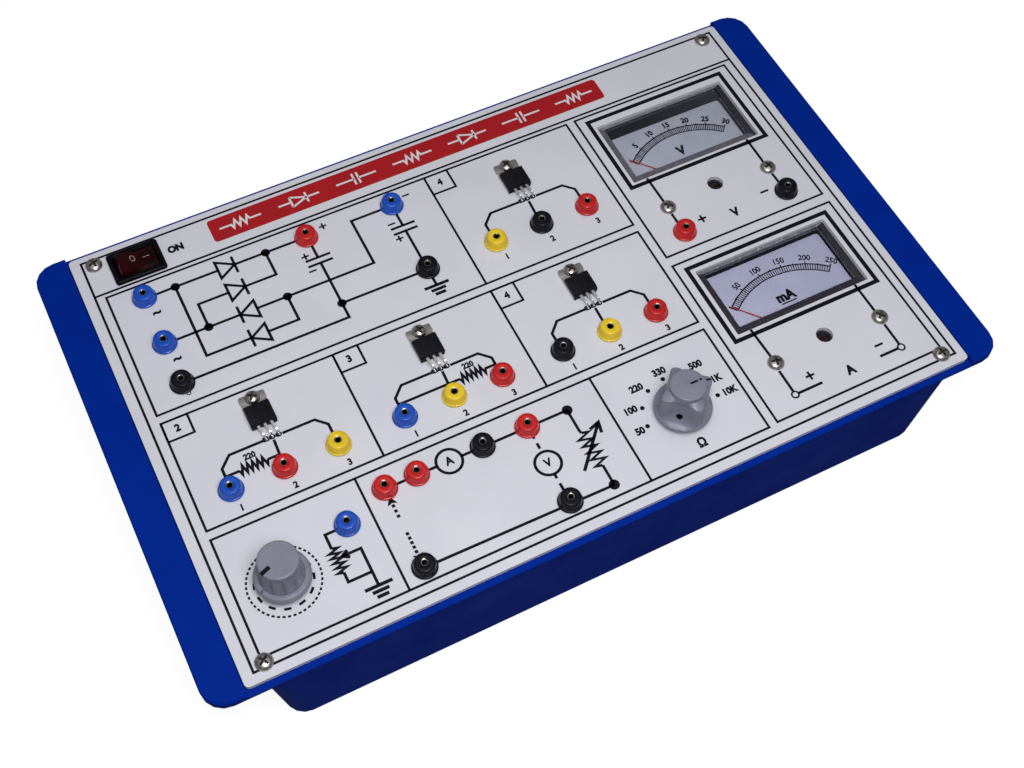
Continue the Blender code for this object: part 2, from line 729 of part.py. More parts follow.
def make_cable_bush():
    """Make the bush that the mains lead enters by: two flanges and a bored neck."""
    outer = GAP + BUSH_FLANGE_THICKNESS
    inner = -TRAY_WALL - 2.0 * GAP - BUSH_FLANGE_THICKNESS
    inner_seat = inner + BUSH_FLANGE_THICKNESS
    outer_seat = GAP + BUSH_FLANGE_RADIUS * math.tan(END_DRAFT)
    profile = [(BUSH_BORE_RADIUS, inner), (BUSH_FLANGE_RADIUS, inner), (BUSH_FLANGE_RADIUS, inner_seat)]
    profile += [(BUSH_NECK_RADIUS, inner_seat), (BUSH_NECK_RADIUS, outer_seat)]
    profile += [(BUSH_FLANGE_RADIUS, outer_seat), (BUSH_FLANGE_RADIUS, outer), (BUSH_BORE_RADIUS, outer)]
    x, _ = panel_place(*TRANSFORMER_PLACE_SHARES)
    place = (x, rear_wall_face(BUSH_HEIGHT), BUSH_HEIGHT)
    bush = ring_solid("cable_bush", "black", profile, BUSH_SIDES, place)
    return smooth(turn_mesh(bush, -math.pi / 2.0, "X"))


# Front panel and its screws


def make_panel():
    """Make the front panel with a hole or a window for each piece that it carries."""
    outline = rounded(PANEL_LENGTH, PANEL_WIDTH, PANEL_CORNER_RADIUS, 2)
    panel = loft("front_panel", "panel_white", prism(outline, PANEL_UNDER, PANEL_TOP))
    low = PANEL_UNDER - OVERRUN
    high = PANEL_TOP + OVERRUN
    holes = []
    for _, _, x, y in socket_places():
        holes.append(prism(hole(SOCKET_SHANK_RADIUS + GAP, x, y), low, high))
    for _, x, y in panel_screw_places() + meter_screw_places():
        holes.append(prism(hole(SCREW_HOLE_RADIUS, x, y), low, high))
    for _, column, row in REGULATOR_PLACE_SHARES:
        x, y = panel_place(column, row)
        holes.append(prism(hole(SCREW_HOLE_RADIUS, x, y + REGULATOR_SCREW_SETBACK), low, high))
        for leg_x, leg_y in leg_places(x, y):
            holes.append(prism(hole(REGULATOR_LEG_HOLE_RADIUS, leg_x, leg_y), low, high))
    holes.append(prism(hole(POT_BUSH_RADIUS + GAP, *panel_place(*POT_PLACE_SHARES)), low, high))
    holes.append(prism(hole(SELECTOR_BUSH_RADIUS + GAP, *panel_place(*SELECTOR_PLACE_SHARES)), low, high))
    switch = rounded(SWITCH_BODY_LENGTH + 2.0 * GAP, SWITCH_BODY_WIDTH + 2.0 * GAP, GAP, 1)
    holes.append(prism(moved(switch, *switch_place()), low, high))
    for _, x, y in meter_centres():
        window = rounded(METER_CUTOUT_LENGTH, METER_CUTOUT_WIDTH, METER_CUTOUT_RADIUS, 2)
        holes.append(prism(moved(window, x, y), low, high))
        adjuster = circle(METER_ADJUSTER_HOLE_RADIUS, METER_ADJUSTER_SIDES)
        holes.append(prism(moved(adjuster, x, y - METER_ADJUSTER_DROP), low, high))
    return smooth(cut(panel, loft_many("panel_holes", "panel_white", holes)))


def screw_profile(length):
    """Return a pan-head screw's profile, with its head's seat at height zero."""
    profile = [(SCREW_RADIUS, -length), (SCREW_RADIUS, 0.0), (SCREW_HEAD_RADIUS, 0.0)]
    profile += [(SCREW_HEAD_RADIUS, SCREW_HEAD_EDGE), (SCREW_CROWN_RADIUS, SCREW_HEAD_HEIGHT)]
    return profile


def make_screws():
    """Make the panel's corner screws and the screws that hold the meters."""
    for length, places in ((SCREW_LENGTH, panel_screw_places()), (METER_SCREW_LENGTH, meter_screw_places())):
        for name, x, y in places:
            smooth(turned(name, "nickel", screw_profile(length), SCREW_SIDES, (x, y, PANEL_TOP + GAP)))


# Sockets


def make_sockets():
    """Make the sockets: a flanged bush with a domed head and a blind bore for the plug."""
    profile = [
        (SOCKET_SHANK_RADIUS, -PANEL_THICKNESS - SOCKET_SHANK_LENGTH),
        (SOCKET_SHANK_RADIUS, GAP),
        (SOCKET_FLANGE_RADIUS, GAP),
        (SOCKET_FLANGE_RADIUS, SOCKET_FLANGE_EDGE),
        (SOCKET_SHOULDER_RADIUS, SOCKET_SHOULDER_HEIGHT),
        (SOCKET_TOP_RADIUS, SOCKET_HEIGHT),
        (SOCKET_BORE_RADIUS, SOCKET_HEIGHT),
        (SOCKET_BORE_RADIUS, SOCKET_HEIGHT - SOCKET_BORE_DEPTH),
    ]
    for name, colour, x, y in socket_places():
        smooth(turned(f"socket_{name}", colour, profile, SOCKET_SIDES, (x, y, PANEL_TOP)))


# Regulators


def regulator_leg(offset):
    """Make one leg: out of the body, over a soft knee and down through the panel."""
    half = REGULATOR_LEG_THICKNESS / 2.0
    knee = 2.0 * REGULATOR_LEG_THICKNESS
    low = -PANEL_THICKNESS - REGULATOR_LEG_BELOW_PANEL
    reach = -REGULATOR_LEG_REACH
    outer = [(REGULATOR_CHAMFER, REGULATOR_LEG_HEIGHT + half), (reach + knee, REGULATOR_LEG_HEIGHT + half)]
    outer += [(reach - half, REGULATOR_LEG_HEIGHT - knee), (reach - half, low)]
    inner = [(reach + half, low), (reach + half, REGULATOR_LEG_HEIGHT - knee)]
    inner += [(reach + knee, REGULATOR_LEG_HEIGHT - half), (REGULATOR_CHAMFER, REGULATOR_LEG_HEIGHT - half)]
    leg = extruded("leg", "plated_steel", outer + inner, REGULATOR_LEG_WIDTH / 2.0)
    return shift_mesh(turn_mesh(leg, math.pi / 2.0, "Z"), offset, 0.0, 0.0)


def regulator_mesh():
    """Make the regulator's package: moulded body, metal tab, fixing screw and three bent legs."""
    half_length = REGULATOR_BODY_LENGTH / 2.0
    corner = REGULATOR_CHAMFER + GAP
    middle = moved(rounded(REGULATOR_WIDTH, REGULATOR_BODY_LENGTH, corner, 1), 0.0, half_length)
    top = rounded_inside(REGULATOR_WIDTH, REGULATOR_BODY_LENGTH, corner, REGULATOR_CHAMFER, 1)
    top = moved(top, 0.0, half_length)
    seat = GAP + REGULATOR_TAB_THICKNESS
    run = [(middle, GAP), (middle, seat + REGULATOR_CHAMFER), (top, REGULATOR_BODY_HEIGHT)]
    body = loft("package", "package_black", run)
    tab_length = REGULATOR_TAB_LENGTH + REGULATOR_CHAMFER
    tab_y = REGULATOR_BODY_LENGTH + REGULATOR_TAB_LENGTH - tab_length / 2.0
    tab = rounded(REGULATOR_WIDTH - GAP, tab_length, REGULATOR_CHAMFER, 1)
    fuse(body, loft("tab", "plated_steel", prism(moved(tab, 0.0, tab_y), GAP, seat)))
    head = REGULATOR_SCREW_HEAD_RADIUS
    profile = [(SCREW_RADIUS, -SCREW_LENGTH), (SCREW_RADIUS, seat / 2.0), (head, seat / 2.0)]
    profile += [(head, seat + SCREW_HEAD_EDGE), (SCREW_CROWN_RADIUS, seat + SCREW_HEAD_HEIGHT)]
    screw = turned("fixing", "nickel", profile, SCREW_SIDES)
    shift_mesh(screw, 0.0, REGULATOR_SCREW_SETBACK, 0.0)
    fuse(body, screw)
    for k in (-1, 0, 1):
        fuse(body, regulator_leg(k * REGULATOR_LEG_PITCH))
    mesh = body.data
    bpy.data.objects.remove(body, do_unlink=True)
    return mesh


def make_regulators():
    """Stand the four regulators on the panel."""
    mesh = regulator_mesh()
    for name, column, row in REGULATOR_PLACE_SHARES:
        x, y = panel_place(column, row)
        add_object(name, mesh, "package_black", (x, y, PANEL_TOP))


# Rocker switch


def make_switch_housing():
    """Make the switch's housing: bezel, body, snap ridges, blades and the rocker's pocket."""
    edge = SWITCH_BEZEL_ROUND
    bezel = rounded(SWITCH_BEZEL_LENGTH, SWITCH_BEZEL_WIDTH, 2.0 * edge, 2)
    crown = rounded_inside(SWITCH_BEZEL_LENGTH, SWITCH_BEZEL_WIDTH, 2.0 * edge, edge, 2)
    body = rounded(SWITCH_BODY_LENGTH, SWITCH_BODY_WIDTH, GAP, 2)
    run = [(body, -SWITCH_BODY_DEPTH), (body, GAP), (bezel, GAP), (bezel, SWITCH_BEZEL_HEIGHT - edge)]
    run.append((crown, SWITCH_BEZEL_HEIGHT))
    x, y = switch_place()
    housing = loft("rocker_switch_housing", "switch_black", run, (x, y, PANEL_TOP))
    pivot = SWITCH_BEZEL_HEIGHT - ROCKER_PIVOT_DEPTH
    floor = pivot - ROCKER_RADIUS * math.sin(ROCKER_KEEL_ANGLE + ROCKER_THROW) - ROCKER_POCKET_CLEARANCE
    mouth = SWITCH_BEZEL_HEIGHT + OVERRUN
    pocket = block(2.0 * (ROCKER_RADIUS + GAP), ROCKER_WIDTH + 2.0 * GAP, floor, mouth)
    cut(housing, at(loft("pocket", "switch_black", pocket), x, y, PANEL_TOP))
    bearing = pivot_pin(ROCKER_PIN_RADIUS + GAP, ROCKER_WIDTH / 2.0 + ROCKER_PIN_LENGTH + GAP)
    cut(housing, at(bearing, x, y, PANEL_TOP + pivot))
    for sign in (-1, 1):
        fuse(housing, at(snap_ridge(sign), x, y, PANEL_TOP))
    low = -SWITCH_BODY_DEPTH - SWITCH_BLADE_LENGTH
    high = -SWITCH_BODY_DEPTH + OVERRUN
    blades = [block(SWITCH_BLADE_WIDTH, SWITCH_BLADE_THICKNESS, low, high, sign * SWITCH_BLADE_PITCH / 2.0)
              for sign in (-1, 1)]
    return smooth(fuse(housing, at(loft_many("blades", "plated_steel", blades), x, y, PANEL_TOP)))


def pivot_pin(radius, reach):
    """Make a pin along Y, for the rocker's pivot or for the bearing that it turns in."""
    pin = loft("pivot_pin", "switch_black", prism(circle(radius, HOLE_SIDES), -reach, reach))
    return turn_mesh(pin, math.pi / 2.0, "X")


def snap_ridge(sign):
    """Make the wedge that snaps in behind the panel at one end of the switch."""
    root = SWITCH_BODY_LENGTH / 2.0 - GAP
    tip = SWITCH_BODY_LENGTH / 2.0 + SWITCH_SNAP_REACH
    high = -PANEL_THICKNESS - GAP
    low = high - SWITCH_SNAP_HEIGHT
    wedge = [(root, low), (tip, high - GAP), (tip, high), (root, high)]
    ridge = extruded("ridge", "switch_black", wedge, SWITCH_SNAP_WIDTH / 2.0)
    return ridge if sign > 0 else turn_mesh(ridge, math.pi, "Z")


def make_rocker():
    """Make the rocker: a shallow V on top, ends that are arcs about its pivot, and two pivot pins."""
    outline = []
    for side in (1, -1):
        for step in range(QUARTER_STEPS + 1):
            share = step / QUARTER_STEPS
            angle = -ROCKER_KEEL_ANGLE + share * (ROCKER_KEEL_ANGLE + ROCKER_CREST_ANGLE)
            angle = angle if side > 0 else -ROCKER_KEEL_ANGLE + ROCKER_CREST_ANGLE - angle
            outline.append((side * ROCKER_RADIUS * math.cos(angle), ROCKER_RADIUS * math.sin(angle)))
        if side > 0:
            outline.append((0.0, ROCKER_VALLEY_HEIGHT))
    rocker = extruded("rocker_switch_rocker", "rocker_red", outline, ROCKER_WIDTH / 2.0)
    fuse(rocker, pivot_pin(ROCKER_PIN_RADIUS, ROCKER_WIDTH / 2.0 + ROCKER_PIN_LENGTH))
    turn_mesh(rocker, ROCKER_THROW, "Y")
    x, y = switch_place()
    return smooth(at(rocker, x, y, PANEL_TOP + SWITCH_BEZEL_HEIGHT - ROCKER_PIVOT_DEPTH))


# Potentiometer and selector switch


def bushed_can(name, can_radius, can_depth, bush_radius, bush_reach, nut_flats, nut_height, place):
    """Make a control's round can under the panel, with its bush through the panel and its nut on top."""
    top = -PANEL_THICKNESS - GAP
    sides = 2 * SPINDLE_SIDES
    profile = [(can_radius, top - can_depth), (can_radius, top)]
    profile += [(bush_radius, top), (bush_radius, bush_reach)]
    can = turned(name, "plated_steel", profile, sides, (*place, PANEL_TOP))
    nut = loft("nut", "nickel", prism(hexagon(nut_flats), GAP, GAP + nut_height), (*place, PANEL_TOP))
    fuse(can, nut)
    bore = [(SPINDLE_RADIUS + GAP, -SPINDLE_REACH - GAP), (SPINDLE_RADIUS + GAP, bush_reach + OVERRUN)]
    return cut(can, turned("bore", "plated_steel", bore, SPINDLE_SIDES, (*place, PANEL_TOP)))


def make_potentiometer():
    """Make the potentiometer's body with its three tags."""
    place = panel_place(*POT_PLACE_SHARES)
    can = bushed_can("potentiometer_body", POT_CAN_RADIUS, POT_CAN_DEPTH, POT_BUSH_RADIUS, POT_BUSH_REACH,
                     POT_NUT_FLATS, POT_NUT_HEIGHT, place)
    low = -PANEL_THICKNESS - GAP - POT_CAN_DEPTH / 2.0
    high = low + POT_TAG_THICKNESS
    root = POT_CAN_RADIUS - OVERRUN - POT_TAG_WIDTH
    length = POT_CAN_RADIUS + POT_TAG_LENGTH - root
    tags = [block(POT_TAG_WIDTH, length, low, high, k * POT_TAG_PITCH, root + length / 2.0)
            for k in (-1, 0, 1)]
    return smooth(fuse(can, loft_many("tags", "plated_steel", tags, (*place, PANEL_TOP))))


def make_selector_switch():
    """Make the selector switch's body, with a tag for each position and one for the common wire."""
    place = panel_place(*SELECTOR_PLACE_SHARES)
    can = bushed_can("selector_switch_body", SELECTOR_CAN_RADIUS, SELECTOR_CAN_DEPTH, SELECTOR_BUSH_RADIUS,
                     SELECTOR_BUSH_REACH, SELECTOR_NUT_FLATS, SELECTOR_NUT_HEIGHT, place)
    low = -PANEL_THICKNESS - GAP - SELECTOR_CAN_DEPTH / 2.0
    high = low + SELECTOR_TAG_THICKNESS
    reach = SELECTOR_CAN_RADIUS - OVERRUN + SELECTOR_TAG_LENGTH / 2.0
    run = block(SELECTOR_TAG_LENGTH + OVERRUN, SELECTOR_TAG_WIDTH, low, high, reach)
    for angle in [k * SELECTOR_STEP for k in range(SELECTOR_POSITIONS)] + [1.5 * math.pi]:
        tag = turn_mesh(loft("tag", "plated_steel", run), angle, "Z")
        fuse(can, at(tag, *place, PANEL_TOP))
    return smooth(can)


def spindle(knob, ceiling, place):
    """Join a control's spindle to the roof of its knob's recess."""
    profile = [(SPINDLE_RADIUS, -SPINDLE_REACH), (SPINDLE_RADIUS, ceiling + OVERRUN)]
    return fuse(knob, turned("spindle", "plated_steel", profile, SPINDLE_SIDES, (*place, PANEL_TOP)))


def make_pot_knob():
    """Make the fluted knob: a notched skirt, a tapering fluted grip and a flat round top."""
    place = panel_place(*POT_PLACE_SHARES)
    points = POT_KNOB_FLUTES * POT_KNOB_FLUTE_POINTS
    recess = POT_NUT_FLATS / 2.0 / math.cos(math.pi / HEXAGON_SIDES) + 2.0 * GAP
    ceiling = POT_BUSH_REACH + 2.0 * GAP
    grip_top = POT_KNOB_HEIGHT - POT_KNOB_TOP_ROUND
    run = [(circle(recess, points), ceiling), (circle(recess, points), POT_KNOB_LIFT)]
    run.append((circle(POT_KNOB_SKIRT_RADIUS, points), POT_KNOB_LIFT))
    run.append((circle(POT_KNOB_SKIRT_RADIUS, points), POT_KNOB_SKIRT_HEIGHT - POT_KNOB_SKIRT_ROUND))
    run.append((circle(POT_KNOB_SKIRT_RADIUS - POT_KNOB_SKIRT_ROUND, points), POT_KNOB_SKIRT_HEIGHT))
    for radius, height in ((POT_KNOB_WAIST_RADIUS, POT_KNOB_SKIRT_HEIGHT), (POT_KNOB_TOP_RADIUS, grip_top)):
        run.append((fluted(radius, POT_KNOB_FLUTE_DEPTH, POT_KNOB_FLUTES, POT_KNOB_FLUTE_POINTS), height))
    run.append((circle(POT_KNOB_TOP_RADIUS - POT_KNOB_FLUTE_DEPTH, points), POT_KNOB_HEIGHT))
    knob = loft("resistance_knob", "knob_grey", run, (*place, PANEL_TOP))
    half_notch = POT_KNOB_NOTCH_WIDTH / 2.0
    mouth = POT_KNOB_SKIRT_RADIUS + OVERRUN
    notch = prism([(POT_KNOB_WAIST_RADIUS, 0.0), (mouth, -half_notch), (mouth, half_notch)], 0.0,
                  POT_KNOB_SKIRT_HEIGHT + OVERRUN)
    cut(knob, loft("notch", "knob_grey", notch, (*place, PANEL_TOP)))
    turn_mesh(knob, POT_KNOB_POINTER, "Z")
    return smooth(spindle(knob, ceiling, place))


def make_selector_knob():
    """Make the lobed knob: a round skirt, four lobes with flutes between them and a raised round crown."""
    place = panel_place(*SELECTOR_PLACE_SHARES)
    points = SELECTOR_LOBES * SELECTOR_LOBE_POINTS
    recess = SELECTOR_NUT_FLATS / 2.0 / math.cos(math.pi / HEXAGON_SIDES) + 2.0 * GAP
    ceiling = SELECTOR_BUSH_REACH + 2.0 * GAP
    shoulder = SELECTOR_LOBE_TOP_SHARE * SELECTOR_LOBE_RADIUS
    run = [(circle(recess, points), ceiling), (circle(recess, points), SELECTOR_KNOB_LIFT)]
    run.append((circle(SELECTOR_SKIRT_RADIUS, points), SELECTOR_KNOB_LIFT))
    run.append((circle(SELECTOR_SKIRT_RADIUS, points), SELECTOR_SKIRT_HEIGHT))
    lobes = (SELECTOR_LOBES, SELECTOR_LOBE_POINTS)
    run.append((lobed(SELECTOR_LOBE_RADIUS, SELECTOR_FLUTE_RADIUS + ceiling / 2.0, *lobes), ceiling))
    run.append((lobed(SELECTOR_LOBE_RADIUS, SELECTOR_FLUTE_RADIUS, *lobes), 2.0 * ceiling))
    run.append((lobed(shoulder, SELECTOR_FLUTE_RADIUS, *lobes), SELECTOR_LOBE_HEIGHT))
    run.append((circle(SELECTOR_CROWN_RADIUS, points), SELECTOR_CROWN_SEAT))
    run.append((circle(SELECTOR_CROWN_RADIUS, points), SELECTOR_KNOB_HEIGHT - SELECTOR_CROWN_ROUND))
    run.append((circle(SELECTOR_CROWN_RADIUS - SELECTOR_CROWN_ROUND, points), SELECTOR_KNOB_HEIGHT))
    knob = loft("selector_knob", "knob_grey", run, (*place, PANEL_TOP))
    near = SELECTOR_FLUTE_RADIUS - SELECTOR_SET_SCREW_DEPTH
    profile = [(SELECTOR_SET_SCREW_RADIUS, near), (SELECTOR_SET_SCREW_RADIUS, SELECTOR_SKIRT_RADIUS)]
    drill = turned("set_screw_hole", "knob_grey", profile, HOLE_SIDES)
    turn_mesh(drill, math.pi / 2.0, "Y")
    turn_mesh(drill, SELECTOR_SET_SCREW_ANGLE, "Z")
    cut(knob, at(drill, *place, PANEL_TOP + SELECTOR_SET_SCREW_HEIGHT))
    return smooth(spindle(knob, ceiling, place))


# Meters


def make_meter_case(name, x, y):
    """Make a meter's case: a face with its opening, a round barrel behind it and two studs."""
    place = (x, y, PANEL_TOP)
    back = METER_FACE_TOP - METER_CASE_DEPTH
    width = METER_CASE_ABOVE + METER_CASE_BELOW
    outline = rounded(METER_CASE_LENGTH, width, METER_CASE_RADIUS, 2)
    outline = moved(outline, 0.0, METER_CASE_ABOVE - width / 2.0)
    case = loft(f"{name}_case", "meter_black", prism(outline, back, METER_FACE_TOP), place)
    barrel = moved(circle(METER_BARREL_RADIUS, METER_BARREL_SIDES), 0.0, -METER_BARREL_DROP)
    barrel_back = back - METER_BARREL_DEPTH
    fuse(case, loft("barrel", "meter_black", prism(barrel, barrel_back, back + OVERRUN), place))
    studs = []
    for sign in (-1, 1):
        stud = moved(circle(METER_STUD_RADIUS, PIN_SIDES), sign * METER_STUD_PITCH / 2.0, -METER_BARREL_DROP)
        studs.append(prism(stud, barrel_back - METER_STUD_LENGTH, barrel_back + OVERRUN))
    fuse(case, loft_many("studs", "meter_black", studs, place))
    cut(case, meter_pocket(place))
    holes = []
    for sign in (-1, 1):
        outline = hole(SCREW_HOLE_RADIUS, sign * METER_SCREW_SPREAD / 2.0, -METER_SCREW_DROP)
        holes.append(prism(outline, -METER_SCREW_LENGTH - OVERRUN, METER_FACE_TOP + OVERRUN))
    return smooth(cut(case, loft_many("screw_holes", "meter_black", holes, place)))


def meter_pocket(place):
    """Make the case's hollow: dial pocket, well with the pivot post, face opening and adjuster hole."""
    floor = -METER_DIAL_DEPTH - METER_DIAL_THICKNESS - GAP
    ceiling = METER_FACE_TOP - METER_FACE_THICKNESS
    high = METER_FACE_TOP + OVERRUN
    width = METER_POCKET_ABOVE + METER_POCKET_BELOW
    run = block(METER_POCKET_LENGTH, width, floor, ceiling, 0.0, METER_POCKET_ABOVE - width / 2.0)
    pocket = loft("pocket", "meter_black", run, place)
    run = block(METER_WELL_LENGTH, METER_WELL_BELOW, floor, ceiling, 0.0, -METER_WELL_BELOW / 2.0)
    fuse(pocket, loft("well", "meter_black", run, place))
    post = moved(circle(METER_POST_RADIUS, PIN_SIDES), 0.0, -METER_PIVOT_DROP)
    post_top = METER_POINTER_THICKNESS / 2.0 - METER_POINTER_DEPTH
    cut(pocket, loft("post", "meter_black", prism(post, floor - OVERRUN, post_top), place))
    opening = rounded(METER_OPENING_LENGTH, METER_OPENING_WIDTH, METER_OPENING_RADIUS, 2)
    fuse(pocket, loft("opening", "meter_black", prism(opening, ceiling - OVERRUN, high), place))
    adjuster = circle(METER_ADJUSTER_RADIUS + GAP, METER_ADJUSTER_SIDES)
    run = prism(moved(adjuster, 0.0, -METER_ADJUSTER_DROP), ceiling - OVERRUN, high)
    return fuse(pocket, loft("adjuster_hole", "meter_black", run, place))


def make_meter_dial(name, x, y):
    """Make the dial plate that lies in the case's pocket."""
    width = METER_POCKET_ABOVE + METER_POCKET_BELOW - 2.0 * GAP
    centre = (METER_POCKET_ABOVE - METER_POCKET_BELOW) / 2.0
    outline = moved(rounded(METER_POCKET_LENGTH - 2.0 * GAP, width, GAP, 1), 0.0, centre)
    run = prism(outline, -METER_DIAL_DEPTH - METER_DIAL_THICKNESS, -METER_DIAL_DEPTH)
    return loft(f"{name}_dial_plate", "dial_grey", run, (x, y, PANEL_TOP))


def make_meter_window(name, x, y):
    """Make the clear window that fills the case's opening."""
    outline = rounded_inside(METER_OPENING_LENGTH, METER_OPENING_WIDTH, METER_OPENING_RADIUS, GAP, 2)
    low = METER_FACE_TOP - METER_FACE_THICKNESS
    run = prism(outline, low, low + METER_WINDOW_THICKNESS)
    return loft(f"{name}_window", "clear_acrylic", run, (x, y, PANEL_TOP))


def make_meter_pointer(name, x, y):
    """Make the pointer: a hub round the pivot post, a tapering needle and a short tail."""
    place = (x, y - METER_PIVOT_DROP, PANEL_TOP - METER_POINTER_DEPTH)
    half = METER_POINTER_THICKNESS / 2.0
    root = METER_POINTER_ROOT_WIDTH / 2.0
    tip = METER_POINTER_TIP_WIDTH / 2.0
    needle = [(root, -METER_POINTER_TAIL), (tip, METER_POINTER_LENGTH), (-tip, METER_POINTER_LENGTH)]
    needle.append((-root, -METER_POINTER_TAIL))
    pointer = loft(f"{name}_pointer", "pointer_red", prism(needle, -half, half), place)
    half_hub = METER_HUB_THICKNESS / 2.0
    hub = prism(circle(METER_HUB_RADIUS, SCREW_SIDES), -half_hub, half_hub)
    fuse(pointer, loft("hub", "pointer_red", hub, place))
    bore = prism(hole(METER_POST_RADIUS + GAP), -OVERRUN, OVERRUN)
    cut(pointer, loft("bore", "pointer_red", bore, place))
    return smooth(turn_mesh(pointer, METER_POINTER_ZERO, "Z"))


def make_meter_adjuster(name, x, y):
    """Make the slotted zero adjuster: its head in the case's hole, its flange behind the face."""
    place = (x, y - METER_ADJUSTER_DROP, PANEL_TOP)
    head_top = METER_FACE_TOP - GAP
    under = METER_FACE_TOP - METER_FACE_THICKNESS - GAP
    profile = [(METER_FLANGE_RADIUS, under - METER_ADJUSTER_FLANGE), (METER_FLANGE_RADIUS, under)]
    profile += [(METER_ADJUSTER_RADIUS, under), (METER_ADJUSTER_RADIUS, head_top)]
    adjuster = turned(f"{name}_zero_adjuster", "meter_black", profile, METER_ADJUSTER_SIDES, place)
    low = head_top - METER_ADJUSTER_SLOT
    slot = block(4.0 * METER_ADJUSTER_RADIUS, METER_ADJUSTER_SLOT, low, head_top + OVERRUN)
    return smooth(cut(adjuster, loft("slot", "meter_black", slot, place)))


def make_meters():
    """Make both meters from the same sizes."""
    for name, x, y in meter_centres():
        make_meter_case(name, x, y)
        make_meter_dial(name, x, y)
        make_meter_window(name, x, y)
        make_meter_pointer(name, x, y)
        make_meter_adjuster(name, x, y)


# Mains transformer and rectifier board


def make_transformer():
    """Make the transformer: laminated core, wound coil and the strap that clamps it to the floor."""
    x, y = panel_place(*TRANSFORMER_PLACE_SHARES)
    place = (x, y, TRAY_FLOOR + GAP)
    stack = block(CORE_LENGTH, CORE_STACK, CORE_CHAMFER, CORE_HEIGHT)
    core = loft("mains_transformer", "iron_core", stack, place)
    half_coil = COIL_DEPTH / 2.0
    coil = rounded(COIL_LENGTH, COIL_HEIGHT, COIL_ROUND, 3)
    winding = loft("winding", "iron_core", prism(coil, -half_coil, half_coil))
    turn_mesh(winding, math.pi / 2.0, "X")
    fuse(core, at(winding, x, y, place[2] + CORE_HEIGHT / 2.0))
    half_span = CORE_LENGTH / 2.0
    inner = half_span - CORE_CHAMFER
    outer = half_span + STRAP_THICKNESS
    foot = outer + STRAP_FOOT
    roof = CORE_HEIGHT + STRAP_THICKNESS
    right = [(inner, 0.0), (foot, 0.0), (foot, STRAP_THICKNESS), (outer, STRAP_THICKNESS), (outer, roof)]
    left = [(-px, pz) for px, pz in reversed(right)]
    under = [(-inner, CORE_HEIGHT - CORE_CHAMFER), (inner, CORE_HEIGHT - CORE_CHAMFER)]
    fuse(core, extruded("strap", "plated_steel", right + left + under, STRAP_WIDTH / 2.0, place))
    holes = [prism(hole(STRAP_HOLE_RADIUS, px, py), 0.0, place[2] + STRAP_THICKNESS + OVERRUN)
             for px, py in transformer_pin_places()]
    return cut(core, loft_many("strap_holes", "plated_steel", holes))


def make_board():
    """Make the rectifier board with its two smoothing capacitors and four diodes."""
    x, y = panel_place(*BOARD_PLACE_SHARES)
    place = (x, y, BOARD_UNDER)
    sheet = block(BOARD_LENGTH, BOARD_WIDTH, 0.0, BOARD_THICKNESS)
    board = loft("rectifier_board", "board_green", sheet, place)
    holes = [prism(hole(PIN_RADIUS + GAP, px, py), BOARD_UNDER - OVERRUN,
                   BOARD_UNDER + BOARD_THICKNESS + OVERRUN) for px, py in board_pin_places()]
    cut(board, loft_many("board_holes", "board_green", holes))
    base = BOARD_THICKNESS / 2.0
    cans = []
    for sign in (-1, 1):
        outline = moved(circle(CAPACITOR_RADIUS, CAPACITOR_SIDES), CAPACITOR_COLUMN_SHARE * BOARD_LENGTH,
                        sign * CAPACITOR_PITCH / 2.0)
        cans.append(prism(outline, base, BOARD_THICKNESS + CAPACITOR_HEIGHT))
    fuse(board, loft_many("capacitors", "board_green", cans, place))
    for k in range(DIODE_COUNT):
        row = (k - (DIODE_COUNT - 1) / 2.0) * DIODE_PITCH
        column = -DIODE_COLUMN_SHARE * BOARD_LENGTH
        fuse(board, at(diode(), x + column, y + row, BOARD_UNDER + BOARD_THICKNESS))
    return smooth(board)


def diode():
    """Make one diode: a round body with its two leads bent down into the board."""
    half_span = DIODE_SPAN / 2.0
    half_body = DIODE_LENGTH / 2.0
    axis = DIODE_LIFT
    body = loft("diode", "board_green", prism(circle(DIODE_RADIUS, DIODE_SIDES), -half_body, half_body))
    turn_mesh(body, math.pi / 2.0, "Y")
    shift_mesh(body, 0.0, 0.0, axis)
    thickness = 2.0 * DIODE_LEAD_RADIUS
    high = axis + DIODE_LEAD_RADIUS
    low = axis - DIODE_LEAD_RADIUS
    sunk = -BOARD_THICKNESS / 2.0
    staple = [(-half_span, sunk), (-half_span + thickness, sunk), (-half_span + thickness, low)]
    staple += [(half_span - thickness, low), (half_span - thickness, sunk), (half_span, sunk)]
    staple += [(half_span, high), (-half_span, high)]
    return fuse(body, extruded("leads", "board_green", staple, DIODE_LEAD_RADIUS))


def main():
    """Build the trainer from its tray up."""
    clear_scene()
    make_tray()
    make_cable_bush()
    make_panel()
    make_screws()
    make_sockets()
    make_regulators()
    make_switch_housing()
    make_rocker()
    make_potentiometer()
    make_pot_knob()
    make_selector_switch()
    make_selector_knob()
    make_meters()
    make_transformer()
    make_board()


main()
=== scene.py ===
"""The voltage regulator trainer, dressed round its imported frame.

Sizes and places on the panel are millimetres: x and y from its front left corner, z up from its printed
face. Sizes and places of the studio are metres.
"""
import json
import logging
import math
from dataclasses import dataclass
from enum import Enum
from functools import cached_property
from typing import Optional, Sequence, Union

import bmesh
import bpy
from mathutils import Matrix, Vector


